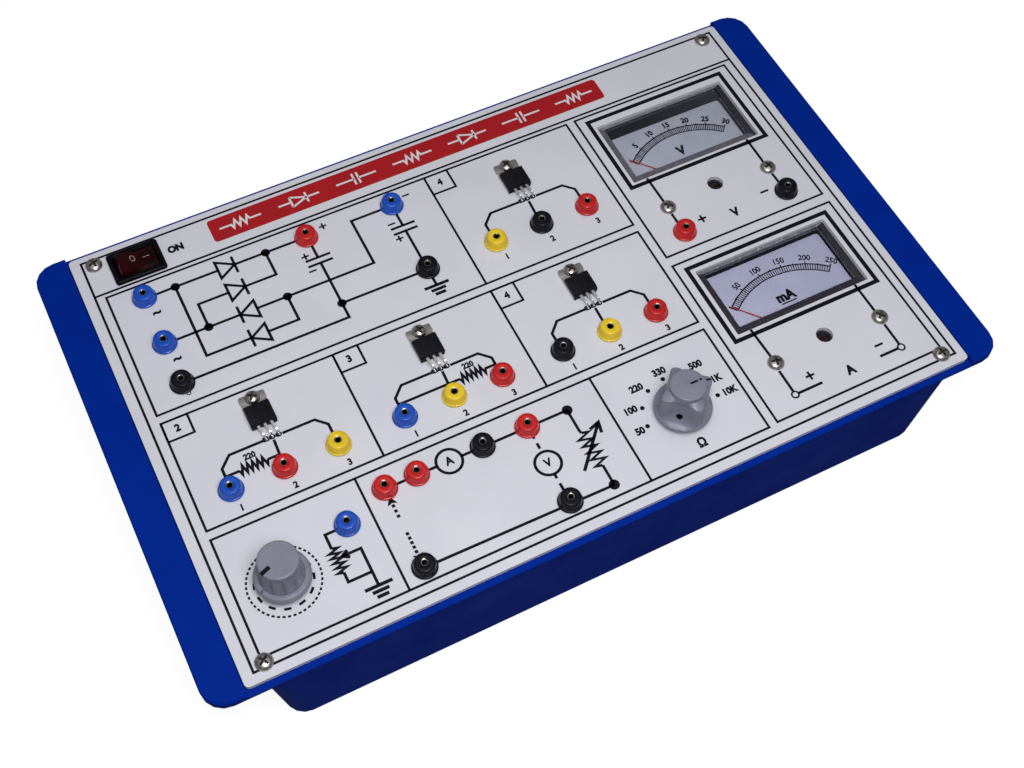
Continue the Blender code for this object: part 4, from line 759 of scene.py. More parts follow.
class Drawing(Shape):
    """Line work and circuit symbols, printed on the panel."""

    def box(self, low: Flat, high: Flat, width: float = LINE) -> None:
        """Draw a rectangle's outline."""
        self.line(rounded(low, high), width, closed=True)

    def ring(self, centre: Flat, radius: float, width: float = LINE) -> None:
        """Draw a circle's outline."""
        self.line(circle(radius, 40, centre), width, closed=True)

    def dot(self, centre: Flat, radius: float) -> None:
        """Print a round dot."""
        self.prism(circle(radius, 24, centre), UNDER, INK, INK_BLACK)

    def level(self, start: float, stop: float, y: float, width: float = LINE) -> None:
        """Draw a level line from one x to another."""
        self.line([(start, y), (stop, y)], width)

    def upright(self, x: float, start: float, stop: float, width: float = LINE) -> None:
        """Draw an upright line from one y to another."""
        self.line([(x, start), (x, stop)], width)

    def ground(self, x: float, y: float, half: float = 5.3, drop: float = 2.0) -> None:
        """Draw an earth sign of three bars that grow shorter."""
        for k, share in enumerate((1.0, 0.6, 0.43)):
            self.level(x - half * share, x + half * share, y - k * drop, LINE * 1.2)

    def capacitor(self, x: float, y: float, half: float = 5.3, space: float = 2.9) -> None:
        """Draw a capacitor's two plates about a height."""
        for side in (-0.5, 0.5):
            self.level(x - half, x + half, y + side * space)

    def zigzag(self, start: Flat, stop: Flat, half: float, teeth: int, width: float = WIDE_LINE) -> None:
        """Draw a resistor between two points.

        Args:
            start: where it starts.
            stop: where it ends.
            half: how far its teeth reach from its middle line; below zero, the first lies on the other side.
            teeth: how many teeth it has.
            width: its line's width.
        """
        along = Vector(stop) - Vector(start)
        side = Vector((-along.y, along.x)).normalized() * half
        points = [start]
        for k in range(teeth):
            middle = Vector(start) + along * (k + 0.5) / teeth + side * (1 if k % 2 else -1)
            points.append((middle.x, middle.y))
        self.line(points + [stop], width)

    def arrow(self, tip: Flat, degrees: float, length: float = 3.6, half: float = 2.0,
              notch: float = 0.7) -> None:
        """Print a solid arrow head with a notched back.

        Args:
            tip: its point.
            degrees: the way that it points.
            length: its length.
            half: half of its width.
            notch: how deep its back is notched.
        """
        back = polar(-length, degrees, tip)
        outline = [tip, polar(half, degrees + 90.0, back), polar(notch - length, degrees, tip),
                   polar(half, degrees - 90.0, back)]
        self.prism(outline, UNDER, INK, INK_BLACK)

    def barbs(self, tip: Flat, degrees: float, reach: float, spread: float = 30.0) -> None:
        """Draw an open arrow head, each of its lines at an angle to the shaft."""
        self.line([polar(-reach, degrees + spread, tip), tip, polar(-reach, degrees - spread, tip)], WIDE_LINE)

    def dashes(self, x: float, start: float, stop: float, dash: float = 1.25, space: float = 0.75) -> None:
        """Draw an upright dashed line.

        Args:
            x: its place across the panel.
            start: where it starts.
            stop: where it ends.
            dash: the length of a dash.
            space: the space between two dashes.
        """
        along = Vector((x, stop)) - Vector((x, start))
        count = max(1, round(along.length / (dash + space)))
        for k in range(count):
            near = Vector((x, start)) + along * k / count
            far = near + along.normalized() * dash
            self.line([(near.x, near.y), (far.x, far.y)], LINE * 1.1)

    def sign(self, plus: bool, place: Flat, reach: float = 1.6, width: float = 0.8) -> None:
        """Draw a plus or a minus.

        Args:
            plus: whether it is a plus.
            place: its middle.
            reach: half of its length.
            width: its line's width.
        """
        x, y = place
        self.level(x - reach, x + reach, y, width)
        if plus:
            self.upright(x, y - reach, y + reach, width)

    def diode(self, x: float, y: float, left: bool = False, half: float = 4.2, length: float = 7.0) -> None:
        """Draw a diode in outline on a level wire.

        Args:
            x: the middle of its triangle.
            y: the wire's height.
            left: whether it points left.
            half: half of its height.
            length: its triangle's length.
        """
        sign = -1.0 if left else 1.0
        tip = x + sign * length / 2.0
        back = x - sign * length / 2.0
        self.line([(tip, y), (back, y + sign * half), (back, y - sign * half)], closed=True)
        self.upright(tip, y + half, y - half)

    def finish_print(self) -> None:
        """Make the drawing a piece on the panel."""
        self.build("base", "panel_white")


class BandSign(Enum):
    """The circuit signs in the title band, each with a wire on both sides."""

    RESISTOR = 0
    DIODE = 1
    CAPACITOR = 2

    def paths(self, x: float, y: float, wire: float = 9.0, half: float = 4.0) -> list[list[Flat]]:
        """Return the sign's lines.

        Args:
            x: the sign's middle.
            y: the wire's height.
            wire: how far the wires reach from the middle.
            half: half of the resistor's length, and of the space that the diode's wires leave.

        Returns:
            Each line's points.
        """
        if self is BandSign.RESISTOR:
            tooth, count = 1.9, 6
            teeth = [(x - half + 2.0 * half * (k + 0.5) / count, y + (tooth if k % 2 else -tooth))
                     for k in range(count)]
            return [[(x - wire, y), (x - half, y), *teeth, (x + half, y), (x + wire, y)]]
        if self is BandSign.DIODE:
            tip, rise = 3.4, 2.6
            return [[(x - wire, y), (x - half, y)], [(x + half, y), (x + wire, y)],
                    [(x + tip, y - rise), (x + tip, y + rise)], [(x + tip, y), (x - tip, y + rise)],
                    [(x - tip, y + rise), (x - tip, y - rise)], [(x - tip, y - rise), (x + tip, y)]]
        plate, rise = 1.0, 3.0
        return [[(x - wire, y), (x - plate, y)], [(x + plate, y), (x + wire, y)],
                [(x - plate, y - rise), (x - plate, y + rise)], [(x + plate, y - rise), (x + plate, y + rise)]]


@dataclass
class PanelPrinting:
    """The lines, signs and figures that are printed on the panel.

    Where a line leaves a socket, a screw or a knob, its place comes from the frame. The other places are
    panel millimetres measured off the photograph.
    """

    border: tuple = ((4.4, 4.1), (296.3, 192.4))
    header: float = 174.7
    boxes: tuple = (((8.4, 113.3), (213.3, 172.6)), ((8.5, 60.6), (213.2, 109.4)), ((8.5, 7.9), (213.3, 56.7)),
                    ((217.4, 93.0), (292.4, 172.7)), ((217.3, 8.5), (292.6, 88.2)))
    dividers: tuple = ((146.1, 113.3, 172.6), (78.0, 60.6, 109.4), (146.1, 60.6, 109.4), (64.5, 7.9, 56.7),
                       (162.3, 7.9, 56.7))
    counters: tuple = (("4", (146.1, 163.0), (156.4, 172.6)), ("2", (8.5, 100.8), (18.8, 109.4)),
                       ("3", (78.0, 100.5), (88.3, 109.4)), ("4", (146.1, 100.0), (155.9, 109.4)))
    counter_figure: float = 3.1
    banner: tuple = ((56.5, 179.1), (236.1, 190.6))
    banner_signs: int = 7
    banner_line: float = 0.9
    diode_rows: tuple = (165.8, 154.0, 142.2, 130.2)
    diode_rails: tuple = (34.5, 39.8, 72.7, 90.8)
    mains_row: float = 122.6
    joint: float = 1.9
    feedback_row: float = 78.1
    knob_rings: Flat = (10.6, 13.4)
    knob_ticks: int = 44
    ammeter_row: float = 15.7
    window_frames: tuple = (((222.0, 130.2), (287.8, 169.4)), ((221.7, 46.1), (288.1, 84.4)))
    window_line: float = 1.85
    selector_ring: float = 15.4
    selector_dot: float = 0.92
    selector_figures: tuple = (("50", (168.6, 27.8)), ("100", (169.6, 37.1)), ("220", (176.3, 44.8)),
                               ("330", (187.8, 47.4)), ("500", (202.0, 44.0)), ("1K", (206.2, 35.3)),
                               ("10K", (208.1, 28.3)))

    def frames(self) -> None:
        """Print the border, the section boxes and their numbers."""
        ink = Drawing("print_frames")
        ink.box(*self.border, FRAME_LINE)
        ink.level(self.border[0][0], self.border[1][0], self.header, FRAME_LINE)
        for low, high in self.boxes:
            ink.box(low, high, FRAME_LINE)
        for divider in self.dividers:
            ink.upright(*divider, FRAME_LINE)
        for figure, low, high in self.counters:
            ink.box(low, high, FRAME_LINE)
            ink.words(figure, self.counter_figure, ((low[0] + high[0]) / 2.0, (low[1] + high[1]) / 2.0))
        ink.words("ON", 3.2, (41.1, 183.5), weight=0.1)
        ink.finish_print()

    def title_band(self) -> None:
        """Print the red band with its row of white circuit signs."""
        band = Drawing("print_title_band")
        band.prism(rounded(*self.banner, radius=1.5), UNDER, INK / 2.0, INK_RED)
        low, high = self.banner
        for k in range(self.banner_signs):
            x = low[0] + (high[0] - low[0]) * (k + 0.5) / self.banner_signs
            for path in BandSign(k % len(BandSign)).paths(x, (low[1] + high[1]) / 2.0):
                band.line(path, self.banner_line, INK_WHITE, low=0.0)
        band.finish_print()

    def rectifier(self) -> None:
        """Print the bridge rectifier and its two smoothing capacitors."""
        ink = Drawing("print_rectifier_circuit")
        upper, lower, centre = spots("socket_input_", "upper", "lower", "centre")
        positive, negative, ground = spots("socket_rectified_", "positive", "negative", "ground")
        first, second, third, fourth = self.diode_rows
        rail, inner, far, stem = self.diode_rails
        for y in (first, second):
            ink.diode(56.0, y)
        for y in (third, fourth):
            ink.diode(56.4, y, left=True)
        base = self.mains_row
        for wire in ([upper, (rail, first), (52.5, first)], [(59.6, first), (positive[0], first)],
                     [(rail, first), (rail, fourth), (52.9, fourth)],
                     [(59.8, fourth), (far, fourth), (far, third)], [(lower[0], third), (52.9, third)],
                     [(59.8, third), (110.0, third), (110.0, 165.3), (negative[0], 165.3)],
                     [(inner, third), (inner, second), (52.5, second)],
                     [(59.6, second), (far, second), (far, first)],
                     [(27.3, base), (stem, base), (stem, 151.6)], [(stem, 129.9), ground],
                     [(stem, 154.5), (stem, positive[1])], [(negative[0], 154.2), negative],
                     [(negative[0], 151.3), (negative[0], 121.5)], [(centre[0], base), (27.5, base)]):
            ink.line(wire)
        ink.capacitor(stem, 153.0)
        ink.capacitor(negative[0], 152.7)
        ink.ground(negative[0], 121.5)
        ink.ring((22.6, 117.5), 0.75, 0.4)
        for place in ((rail, first), (inner, third), (far, first), (far, third), (stem, 129.9)):
            ink.dot(place, self.joint)
        for plus, place in ((True, (86.3, 156.9)), (False, (86.4, 149.1)), (False, (124.2, 156.7)),
                            (True, (124.2, 148.6)), (True, (98.5, 168.0)), (False, (135.5, 167.8))):
            ink.sign(plus, place)
        for y in (157.5, 134.0):
            ink.words("~", 4.2, (24.0, y))
        ink.finish_print()

    def regulator_sections(self) -> None:
        """Print the wires, pads and terminal numbers of the four regulators, and two of their resistors."""
        ink = Drawing("print_regulator_sections")
        for k in range(1, 5):
            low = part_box(f"regulator_{k}")[0]
            x = spot(f"regulator_{k}")[0] + Regulator.lean
            y = (low[1] - PANEL_LOW[1]) / MM + 0.25
            left, middle, right = spots(f"socket_regulator_{k}_", "left", "middle", "right")
            wire, edge = y - 0.2, 3.9
            ink.line([left, (left[0], wire - 4.4), (left[0] + 4.4, wire), (x - edge, wire)])
            ink.line([(x, wire - 1.2), middle])
            ink.line([(x + edge, wire), (right[0] - 4.0, wire), (right[0], wire - 4.0), right])
            ink.box((x - 3.4, y - 0.8), (x - 1.8, y + 0.8), 0.55)
            for pad in (0.0, Regulator.pitch):
                ink.ring((x + pad, y), 0.82, 0.62)
            for number, socket in enumerate((left, middle, right), 1):
                ink.words(str(number), 2.7, (socket[0] + 1.0, socket[1] - 8.2), weight=0.07)
        y = self.feedback_row
        for start, stop, low, high in (("2_left", "2_middle", 28.0, 38.8),
                                       ("3_left", "3_right", 117.7, 128.2)):
            begin, end = spots("socket_regulator_", start, stop)
            ink.line([begin, (begin[0], y), (low, y)])
            ink.zigzag((low, y), (high, y), 1.75, 11)
            ink.line([(high, y), (end[0], y), end])
            ink.words("220", 2.4, ((low + high) / 2.0, y + 4.3))
        ink.finish_print()

    def resistor(self) -> None:
        """Print the variable resistor's circuit and the rings round its knob."""
        ink = Drawing("print_variable_resistor")
        x, y = spot("socket_variable_resistor")
        top, bottom = (46.15, 34.5), (46.4, 24.4)
        wiper, slider, earth = 30.3, 55.5, 14.5
        ink.line([(x, y), (46.0, y), (46.0, 34.9), top])
        ink.zigzag(top, bottom, -1.95, 10)
        ink.line([bottom, (bottom[0], 20.3), (55.4, 20.3)])
        ink.line([(48.6, wiper), (slider, wiper), (slider, 14.8)])
        ink.barbs((48.3, wiper), 180.0, 2.9)
        ink.ground(slider, earth)
        centre = spot("resistance_knob")
        inner, outer = self.knob_rings
        for k in range(12):
            ink.line(arc(inner, 30.0 * k + 8.0, 30.0 * k + 22.0, 3, centre), 1.0)
        step = 360.0 / self.knob_ticks
        for k in range(self.knob_ticks):
            ink.line(arc(outer, step * k, step * (k + 0.6), 2, centre), 0.8)
        ink.finish_print()

    def regulation(self) -> None:
        """Print the circuit that shows how regulation is measured."""
        ink = Drawing("print_regulation_circuit")
        left, right = spots("socket_ammeter_circuit_", "left", "right")
        load, ground = spots("socket_load_input_", "positive", "negative")
        y = left[1]
        ammeter, voltmeter, meter_ring = (98.8, y), (131.35, 31.2), 5.0
        top, bottom, foot = (148.4, 36.9), (149.1, 21.5), (149.1, 12.6)
        for wire in ([load, left, (93.8, y)], [(103.8, y), right, (148.1, y), (148.1, 38.2), top],
                     [bottom, foot], [ground, (bottom[0], ground[1] - 1.0)]):
            ink.line(wire)
        ink.ring(ammeter, meter_ring)
        ink.zigzag(top, bottom, -2.6, 10, LINE)
        ink.line([(141.9, 22.3), (156.1, 38.05)], WIDE_LINE)
        ink.barbs((156.3, 38.25), 47.9, 4.6)
        for joint in ((148.15, y), foot):
            ink.dot(joint, 2.1)
        ink.ring(voltmeter, meter_ring)
        for high, low in ((45.0, 42.5), (40.4, 37.8), (26.2, 24.1), (21.9, 17.5)):
            ink.upright(voltmeter[0], high, low)
        ink.dashes(load[0], 41.0, 34.2)
        ink.dashes(load[0], 28.7, 19.0)
        ink.arrow((load[0], 44.5), 90.0)
        ink.arrow((load[0], 15.8), 270.0)
        ink.words("A", 3.4, ammeter, weight=0.06)
        ink.words("V", 3.4, voltmeter, weight=0.06)
        ink.finish_print()

    def load(self) -> None:
        """Print the dots and figures round the selector knob."""
        ink = Drawing("print_load_section")
        x, y = spot("selector_knob")
        for k in range(len(self.selector_figures)):
            ink.dot(polar(self.selector_ring, 180.0 - 30.0 * k, (x + 0.5, y)), self.selector_dot)
        for figure, place in self.selector_figures:
            ink.words(figure, 2.9, place)
        ink.words("Ω", 3.8, (187.2, 13.4), weight=0.07)
        ink.finish_print()

    def meter_circuits(self) -> None:
        """Print the frames round the meters' windows and the wires below them."""
        ink = Drawing("print_meter_circuits")
        for low, high in self.window_frames:
            ink.box(low, high, self.window_line)
        for x, screw, jack in ((230.3, "left", "positive"), (279.1, "right", "negative")):
            head, plug = spot(f"voltmeter_screw_{screw}"), spot(f"socket_voltmeter_{jack}")
            ink.line([(x, 132.0), head])
            ink.line([(x, head[1] - 3.4), plug])
        y = self.ammeter_row
        for x, screw in ((229.9, "left"), (278.9, "right")):
            ink.line([(x, 48.4), spot(f"ammeter_screw_{screw}")])
            ink.upright(x, 27.4, y + 1.7)
            ink.ring((x, y), 1.4, 0.7)
        ink.level(231.3, 242.2, y)
        ink.level(269.0, 277.5, y)
        for plus, place in ((True, (240.4, 103.7)), (False, (271.1, 104.6)), (True, (239.5, 20.4)),
                            (False, (271.4, 20.4))):
            ink.sign(plus, place, 1.9, 0.95)
        ink.words("V", 4.0, (254.6, 100.6))
        ink.words("A", 4.0, (255.2, y))
        ink.finish_print()

    def build(self) -> None:
        """Print everything."""
        for part in (self.frames, self.title_band, self.rectifier, self.regulator_sections, self.resistor,
                     self.regulation, self.load, self.meter_circuits):
            part()


# Fastenings and sockets


@dataclass
class PanScrew:
    """A pan-head screw with a cross recess."""

    head: float = 3.4
    height: float = 1.9
    shank: float = 1.5
    length: float = 10.0
    seat: float = CLEAR
    first_angle: float = 12.0
    recess: float = 2.25
    arm: float = 0.5
    depth: float = 1.5
    sides: int = 32

    def head_shape(self) -> Shape:
        """Turn the screw's head and shank.

        Returns:
            The turned shape.
        """
        shape = Shape("screw")
        profile = [(self.shank, self.seat - self.length), (self.shank, self.seat),
                   (self.head - 0.1, self.seat), (self.head, self.seat + 0.12)]
        steps = 7
        for step in range(steps):
            angle = math.radians(self.first_angle + (90.0 - self.first_angle) * step / steps)
            profile.append((self.head * math.cos(angle) ** 0.8, self.seat + self.height * math.sin(angle)))
        profile.append((self.head * 0.08, self.seat + self.height))
        shape.turned(profile, SCREW_NICKEL, self.sides)
        return shape

    def recess_shape(self) -> Shape:
        """Return the tapering cross that is pressed into the head.

        Returns:
            The cross.
        """
        tool = Shape("cross")
        top = self.seat + self.height
        layers = []
        for reach, arm, z in ((self.recess * 0.45, self.arm * 0.5, top - self.depth),
                              (self.recess, self.arm, top), (self.recess * 1.08, self.arm * 1.1, top + 0.4)):
            corners = [(reach, -arm), (reach, arm), (arm, arm), (arm, reach), (-arm, reach), (-arm, arm),
                       (-reach, arm), (-reach, -arm), (-arm, -arm), (-arm, -reach), (arm, -reach), (arm, -arm)]
            layers.append((corners, z))
        # The recess takes the dark metal: painted shade
        tool.stack(layers, SCREW_RECESS_SHADE)
        return tool

    def drive_into(self, shape: Shape, turn: float, place: Flat = (0.0, 0.0)) -> None:
        """Add the finished screw to a shape.

        Args:
            shape: the shape, laid out from the place of its own.
            turn: how the cross is turned, in degrees.
            place: the screw's place on the shape.
        """
        mesh = carved(self.head_shape().mesh(), self.recess_shape().mesh())
        spin = Matrix.Rotation(math.radians(turn), 4, "Z")
        mesh.transform(shape.local @ Matrix.Translation((*place, 0.0)) @ spin)
        shape.take(mesh, SCREW_NICKEL, SCREW_RECESS_SHADE)


@dataclass
class Screws:
    """The screws that show: four at the panel's corners and two below each meter."""

    turns: tuple = (("panel_screw_rear_left", 20.0), ("panel_screw_rear_right", 65.0),
                    ("panel_screw_front_left", 35.0), ("panel_screw_front_right", 5.0),
                    ("voltmeter_screw_left", 50.0), ("voltmeter_screw_right", 15.0),
                    ("ammeter_screw_left", 75.0), ("ammeter_screw_right", 40.0))
    panel_length: float = 10.0
    meter_length: float = 6.0

    def build(self) -> None:
        """Set a screw in place of each of its CAD nodes."""
        for node, turn in self.turns:
            shape = Shape(f"{node}_dressed").move_to(*spot(node))
            length = self.panel_length if node.startswith("panel") else self.meter_length
            PanScrew(length=length).drive_into(shape, turn)
            shape.build("base", "nickel", [node])


@dataclass
class Socket:
    """A plug socket: flat flange, tapered head, and a nickel liner round its narrow bore."""

    node: str
    colour: Colour
    flange: float = 4.9
    flange_top: float = 1.1
    edge: float = 0.12
    neck: float = 4.5
    shoulder: float = 4.0
    height: float = 4.7
    liner: float = 1.4
    bore: float = 1.0
    bore_floor: float = -9.3
    shank: float = 3.0
    shank_floor: float = -16.0
    sides: int = 40

    def plastic(self) -> list[Flat]:
        """Return the outer profile, from the shank's end up and over the crown.

        Returns:
            Its points, each a radius and a height.
        """
        top = self.height
        foot = [(self.shank, self.shank_floor), (self.shank, CLEAR), (self.flange - 0.1, CLEAR),
                (self.flange, CLEAR + self.edge), (self.flange, self.flange_top - 0.15),
                (self.flange - self.edge, self.flange_top), (self.neck, self.flange_top + 0.1)]
        crown = [(self.shoulder - inset, top - drop)
                 for inset, drop in ((0.0, 0.7), (0.1, 0.4), (0.28, 0.15), (0.55, 0.0))]
        return foot + crown + [(self.liner + 0.4, top), (self.liner + 0.05, top - 0.2)]

    def lining(self) -> list[Flat]:
        """Return the liner's profile, from its rim down its bore.

        Returns:
            Its points, each a radius and a height.
        """
        top = self.height
        return [(self.liner, top - 0.22), (self.liner - 0.1, top - 0.28), (self.bore + 0.1, top - 0.28),
                (self.bore, top - 0.36), (self.bore, self.bore_floor)]

    def build(self) -> None:
        """Turn the socket and set it in place of its CAD node."""
        outer, lining = self.plastic(), self.lining()
        shape = Shape(f"{self.node}_dressed").move_to(*spot(self.node))
        finishes = [self.colour.finish()] * (len(outer) - 1) + [SOCKET_LINER] * len(lining)
        shape.turned(outer + lining, finishes, self.sides)
        shape.build("base", self.colour.value, [self.node])


def socket_colours() -> dict[str, Colour]:
    """Return each socket node's colour, as the record gives it."""
    slots = {part["node"]: part["material_slot"] for part in frame["record"]["subparts"]}
    return {node: Colour(slot) for node, slot in slots.items() if node.startswith("socket_")}


# Regulators


@dataclass
class Regulator:
    """A flat power package: moulded body, plated tab with its screw, and three bent legs.

    Its places along y are counted from a point tab_reach in front of the tab's end.
    """

    node: str
    turn: float
    width: float = 10.4
    foot: float = 1.4
    body: float = 10.5
    top: float = 4.3
    draft: float = 0.3
    middle: float = 2.6
    tab: float = 1.3
    tab_reach: float = 16.1
    tab_root: float = 2.0
    notch: Flat = (11.8, 13.1)
    screw: float = 14.4
    screw_head: float = 3.0
    pitch: float = 2.6
    lean: float = 0.8
    leg_root: float = 0.5
    leg_tip: float = 0.36
    leg_thick: float = 0.25
    bend: float = 0.9
    landing: float = -3.0

    def place(self) -> Flat:
        """Return the point that the package is laid out from, in front of its tab's end by tab_reach."""
        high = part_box(self.node)[1]
        return (spot(self.node)[0], (high[1] - PANEL_LOW[1]) / MM - self.tab_reach)

    def moulding(self, shape: Shape) -> None:
        """Loft the moulded body, drafted above and below its parting line, and its low step on the tab.

        Args:
            shape: the shape that it is added to.
        """
        half = self.width / 2.0
        seat = CLEAR + self.tab
        layers = []
        for inset, z in ((self.draft * 0.6, CLEAR + 0.02), (0.0, self.middle), (self.draft, self.top - 0.25),
                         (self.draft + 0.08, self.top - 0.08), (self.draft + 0.25, self.top)):
            low, high = (inset - half, self.foot + inset), (half - inset, self.body - inset)
            layers.append((rounded(low, high, 0.25, 3), z))
        shape.stack(layers, PACKAGE_BLACK)
        layers = []
        for inset, reach, z in ((0.5, 0.9, seat - 0.1), (0.7, 0.6, seat + 0.5)):
            low, high = (inset - half, self.body - 0.4), (half - inset, self.body + reach)
            layers.append((rounded(low, high, 0.2, 2), z))
        shape.stack(layers, PACKAGE_BLACK)

    def plate(self, shape: Shape) -> None:
        """Raise the plated tab, with its clipped corners and side notches.

        Args:
            shape: the shape that it is added to.
        """
        half = self.width / 2.0 - 0.05
        reach = self.tab_reach + 0.3
        low, high = self.notch
        right = [(half, self.tab_root), (half, low), (half - 0.4, low + 0.3), (half - 0.4, high - 0.3),
                 (half, high), (half, reach - 0.5), (half - 0.5, reach)]
        outline = right + [(-x, y) for x, y in reversed(right)]
        shape.prism(outline, CLEAR, CLEAR + self.tab, TAB_STEEL, 0.12)

    def leg(self, shape: Shape, x: float) -> None:
        """Loft one leg along its bend: broad near the body, narrow where it turns down.

        Args:
            shape: the shape that it is added to.
            x: the leg's place across the body.
        """
        broad, narrow = self.leg_root, self.leg_tip
        knee = (self.landing + self.bend, self.middle - self.bend)
        path = [(2.0, self.middle, broad), (-0.6, self.middle, broad), (-0.9, self.middle, narrow)]
        path += [(*polar(self.bend, 90.0 + 15.0 * k, knee), narrow) for k in range(7)]
        path.append((self.landing, -6.0, narrow))
        rows = []
        for k, (y, z, half) in enumerate(path):
            middle = x + self.lean * min(1.0, max(0.0, (self.foot - y) / (self.foot - self.landing)))
            before = Vector(path[max(0, k - 1)][:2])
            after = Vector(path[min(len(path) - 1, k + 1)][:2])
            along = (after - before).normalized()
            side = Vector((-along.y, along.x)) * self.leg_thick
            rows.append([(middle - half, y + side.x, z + side.y), (middle + half, y + side.x, z + side.y),
                         (middle + half, y - side.x, z - side.y), (middle - half, y - side.x, z - side.y)])
        shape.loft(rows, TINNED)
        solder = [(0.42, 0.0), (0.40, 0.15), (0.38, 0.4), (0.36, 0.5)]
        shape.turned(solder, TINNED, 16, place=(x + self.lean, self.landing))

    def build(self) -> None:
        """Make the regulator and set it in place of its CAD node."""
        shape = Shape(f"{self.node}_dressed").move_to(*self.place())
        self.moulding(shape)
        self.plate(shape)
        for k in (-1, 0, 1):
            self.leg(shape, k * self.pitch)
        PanScrew(head=self.screw_head, seat=CLEAR + self.tab).drive_into(shape, self.turn, (0.0, self.screw))
        shape.build("base", "package_black", [self.node])


# Controls


@dataclass
class RockerSwitch:
    """The mains rocker switch: glossy black bezel and a dark red rocker with its two signs."""

    length: float = 21.2
    width: float = 15.3
    height: float = 1.8
    body_length: float = 19.4
    body_width: float = 13.6
    body_depth: float = 12.0
    pocket_floor: float = -5.9
    radius: float = 8.3
    rocker_width: float = 10.2
    pivot: float = -0.5
    crest: float = 24.0
    keel: float = 25.0
    valley: float = 1.9
    hollow: float = 1.6
    throw: float = 10.5
    sign_line: float = 0.3

    def housing(self) -> None:
        """Make the bezel and the body with the pocket that the rocker tilts in."""
        shape = Shape("switch_bezel").move_to(*spot("rocker_switch_housing"))
        sizes = ((self.length / 2.0, self.width / 2.0, 1.2),
                 (self.body_length / 2.0, self.body_width / 2.0, 0.6),
                 (self.radius + CLEAR, self.rocker_width / 2.0 + CLEAR, 0.5))
        outer, body, well = (rounded((-x, -y), (x, y), corner, 4) for x, y, corner in sizes)
        top = self.height
        layers = [(well, self.pocket_floor), (body, -self.body_depth), (body, CLEAR), (outer, CLEAR),
                  (outer, top - 0.7), (offset(outer, 0.12), top - 0.35), (offset(outer, 0.4), top - 0.1),
                  (offset(outer, 0.75), top), (offset(well, -0.35), top), (offset(well, -0.08), top - 0.12),
                  (well, top - 0.4), (well, self.pocket_floor)]
        shape.stack(layers, SWITCH_BLACK)
        shape.build("base", "switch_black", ["rocker_switch_housing"])

    def section(self) -> tuple[list[Flat], Flat]:
        """Return the rocker's section, and the top of its ramp on the right.

        Returns:
            The section's points, and the ramp's top.
        """
        points = [polar(self.radius, -self.keel + (self.keel + self.crest) * k / 8.0) for k in range(9)]
        ramp = (points[-1][0] - 0.25, points[-1][1] + 0.12)
        points.append(ramp)
        points += [(ramp[0] * (1.0 - k / 6.0), self.ramp_height(1.0 - k / 6.0, ramp)) for k in range(1, 6)]
        points.append((0.0, self.valley))
        return (points + [(-x, z) for x, z in reversed(points[:-1])], ramp)

    def ramp_height(self, share: float, ramp: Flat) -> float:
        """Return the rocker's height at a share of the way from its middle to the ramp's top."""
        return self.valley + (ramp[1] - self.valley) * share ** self.hollow

    def rocker(self) -> None:
        """Make the rocker with its shallow V, and print O and I on its two faces."""
        shape = Shape("switch_rocker")
        x, y = spot("rocker_switch_rocker")
        half = self.rocker_width / 2.0 - 0.02
        section, ramp = self.section()
        tilt = Matrix.Translation((x, y, self.pivot)) @ Matrix.Rotation(math.radians(self.throw), 4, "Y")
        shape.local = tilt
        rows = []
        for inset, reach in ((0.3, -half), (0.08, 0.1 - half), (0.0, 0.35 - half), (0.0, half - 0.35),
                             (0.08, half - 0.1), (0.3, half)):
            rows.append([(px, reach, pz) for px, pz in offset(section, inset)])
        shape.loft(rows, ROCKER_RED)
        slope = math.degrees(math.atan2(ramp[1] - self.valley, ramp[0]))
        oval = [(0.95 * px, 1.35 * py) for px, py in circle(1.0, 28)]
        bar = [(-1.3, 0.0), (1.3, 0.0)]
        for path, side, share, rise in ((oval, -1.0, 0.2, 1.6), (bar, 1.0, 0.52, 0.7)):
            place = (side * share * ramp[0], rise, self.ramp_height(share, ramp) + 0.14)
            lean = Matrix.Rotation(math.radians(-side * slope), 4, "Y")
            shape.local = tilt @ Matrix.Translation(place) @ lean
            shape.line(path, self.sign_line, SWITCH_MARK, closed=path is oval)
        shape.build("rocker", "rocker_red", ["rocker_switch_rocker"])

    def build(self) -> None:
        """Make both halves of the switch."""
        self.housing()
        self.rocker()


@dataclass
class Knob:
    """What both knobs share: a skirt above the panel, a hollow underside, a spindle and a printed mark."""

    node: str
    skirt: float
    lift: float
    height: float
    turn: float
    cut_finish: Finish
    spindle: float = 3.0
    spindle_floor: float = -10.0

    def body(self) -> Shape:
        """Return the knob's body about its own axis."""
        raise NotImplementedError

    def cutter(self) -> Shape:
        """Return what is cut out of the body."""
        raise NotImplementedError

    def mark(self, ink: Drawing, place: Matrix) -> None:
        """Print the knob's mark.

        Args:
            ink: the drawing that it is added to.
            place: the knob's place and turn.
        """
        raise NotImplementedError

    def build(self) -> None:
        """Make the knob, cut it, turn it to its place and print its mark."""
        shape = Shape(f"{self.node}_dressed").move_to(*spot(self.node), turn=self.turn)
        mesh = carved(self.body().mesh(), self.cutter().mesh())
        mesh.transform(shape.local)
        shape.take(mesh, KNOB_GREY, self.cut_finish)
        ink = Drawing("mark")
        self.mark(ink, shape.local)
        shape.take(ink.mesh(), INK_BLACK)
        shape.build(self.node, "knob_grey", [self.node])


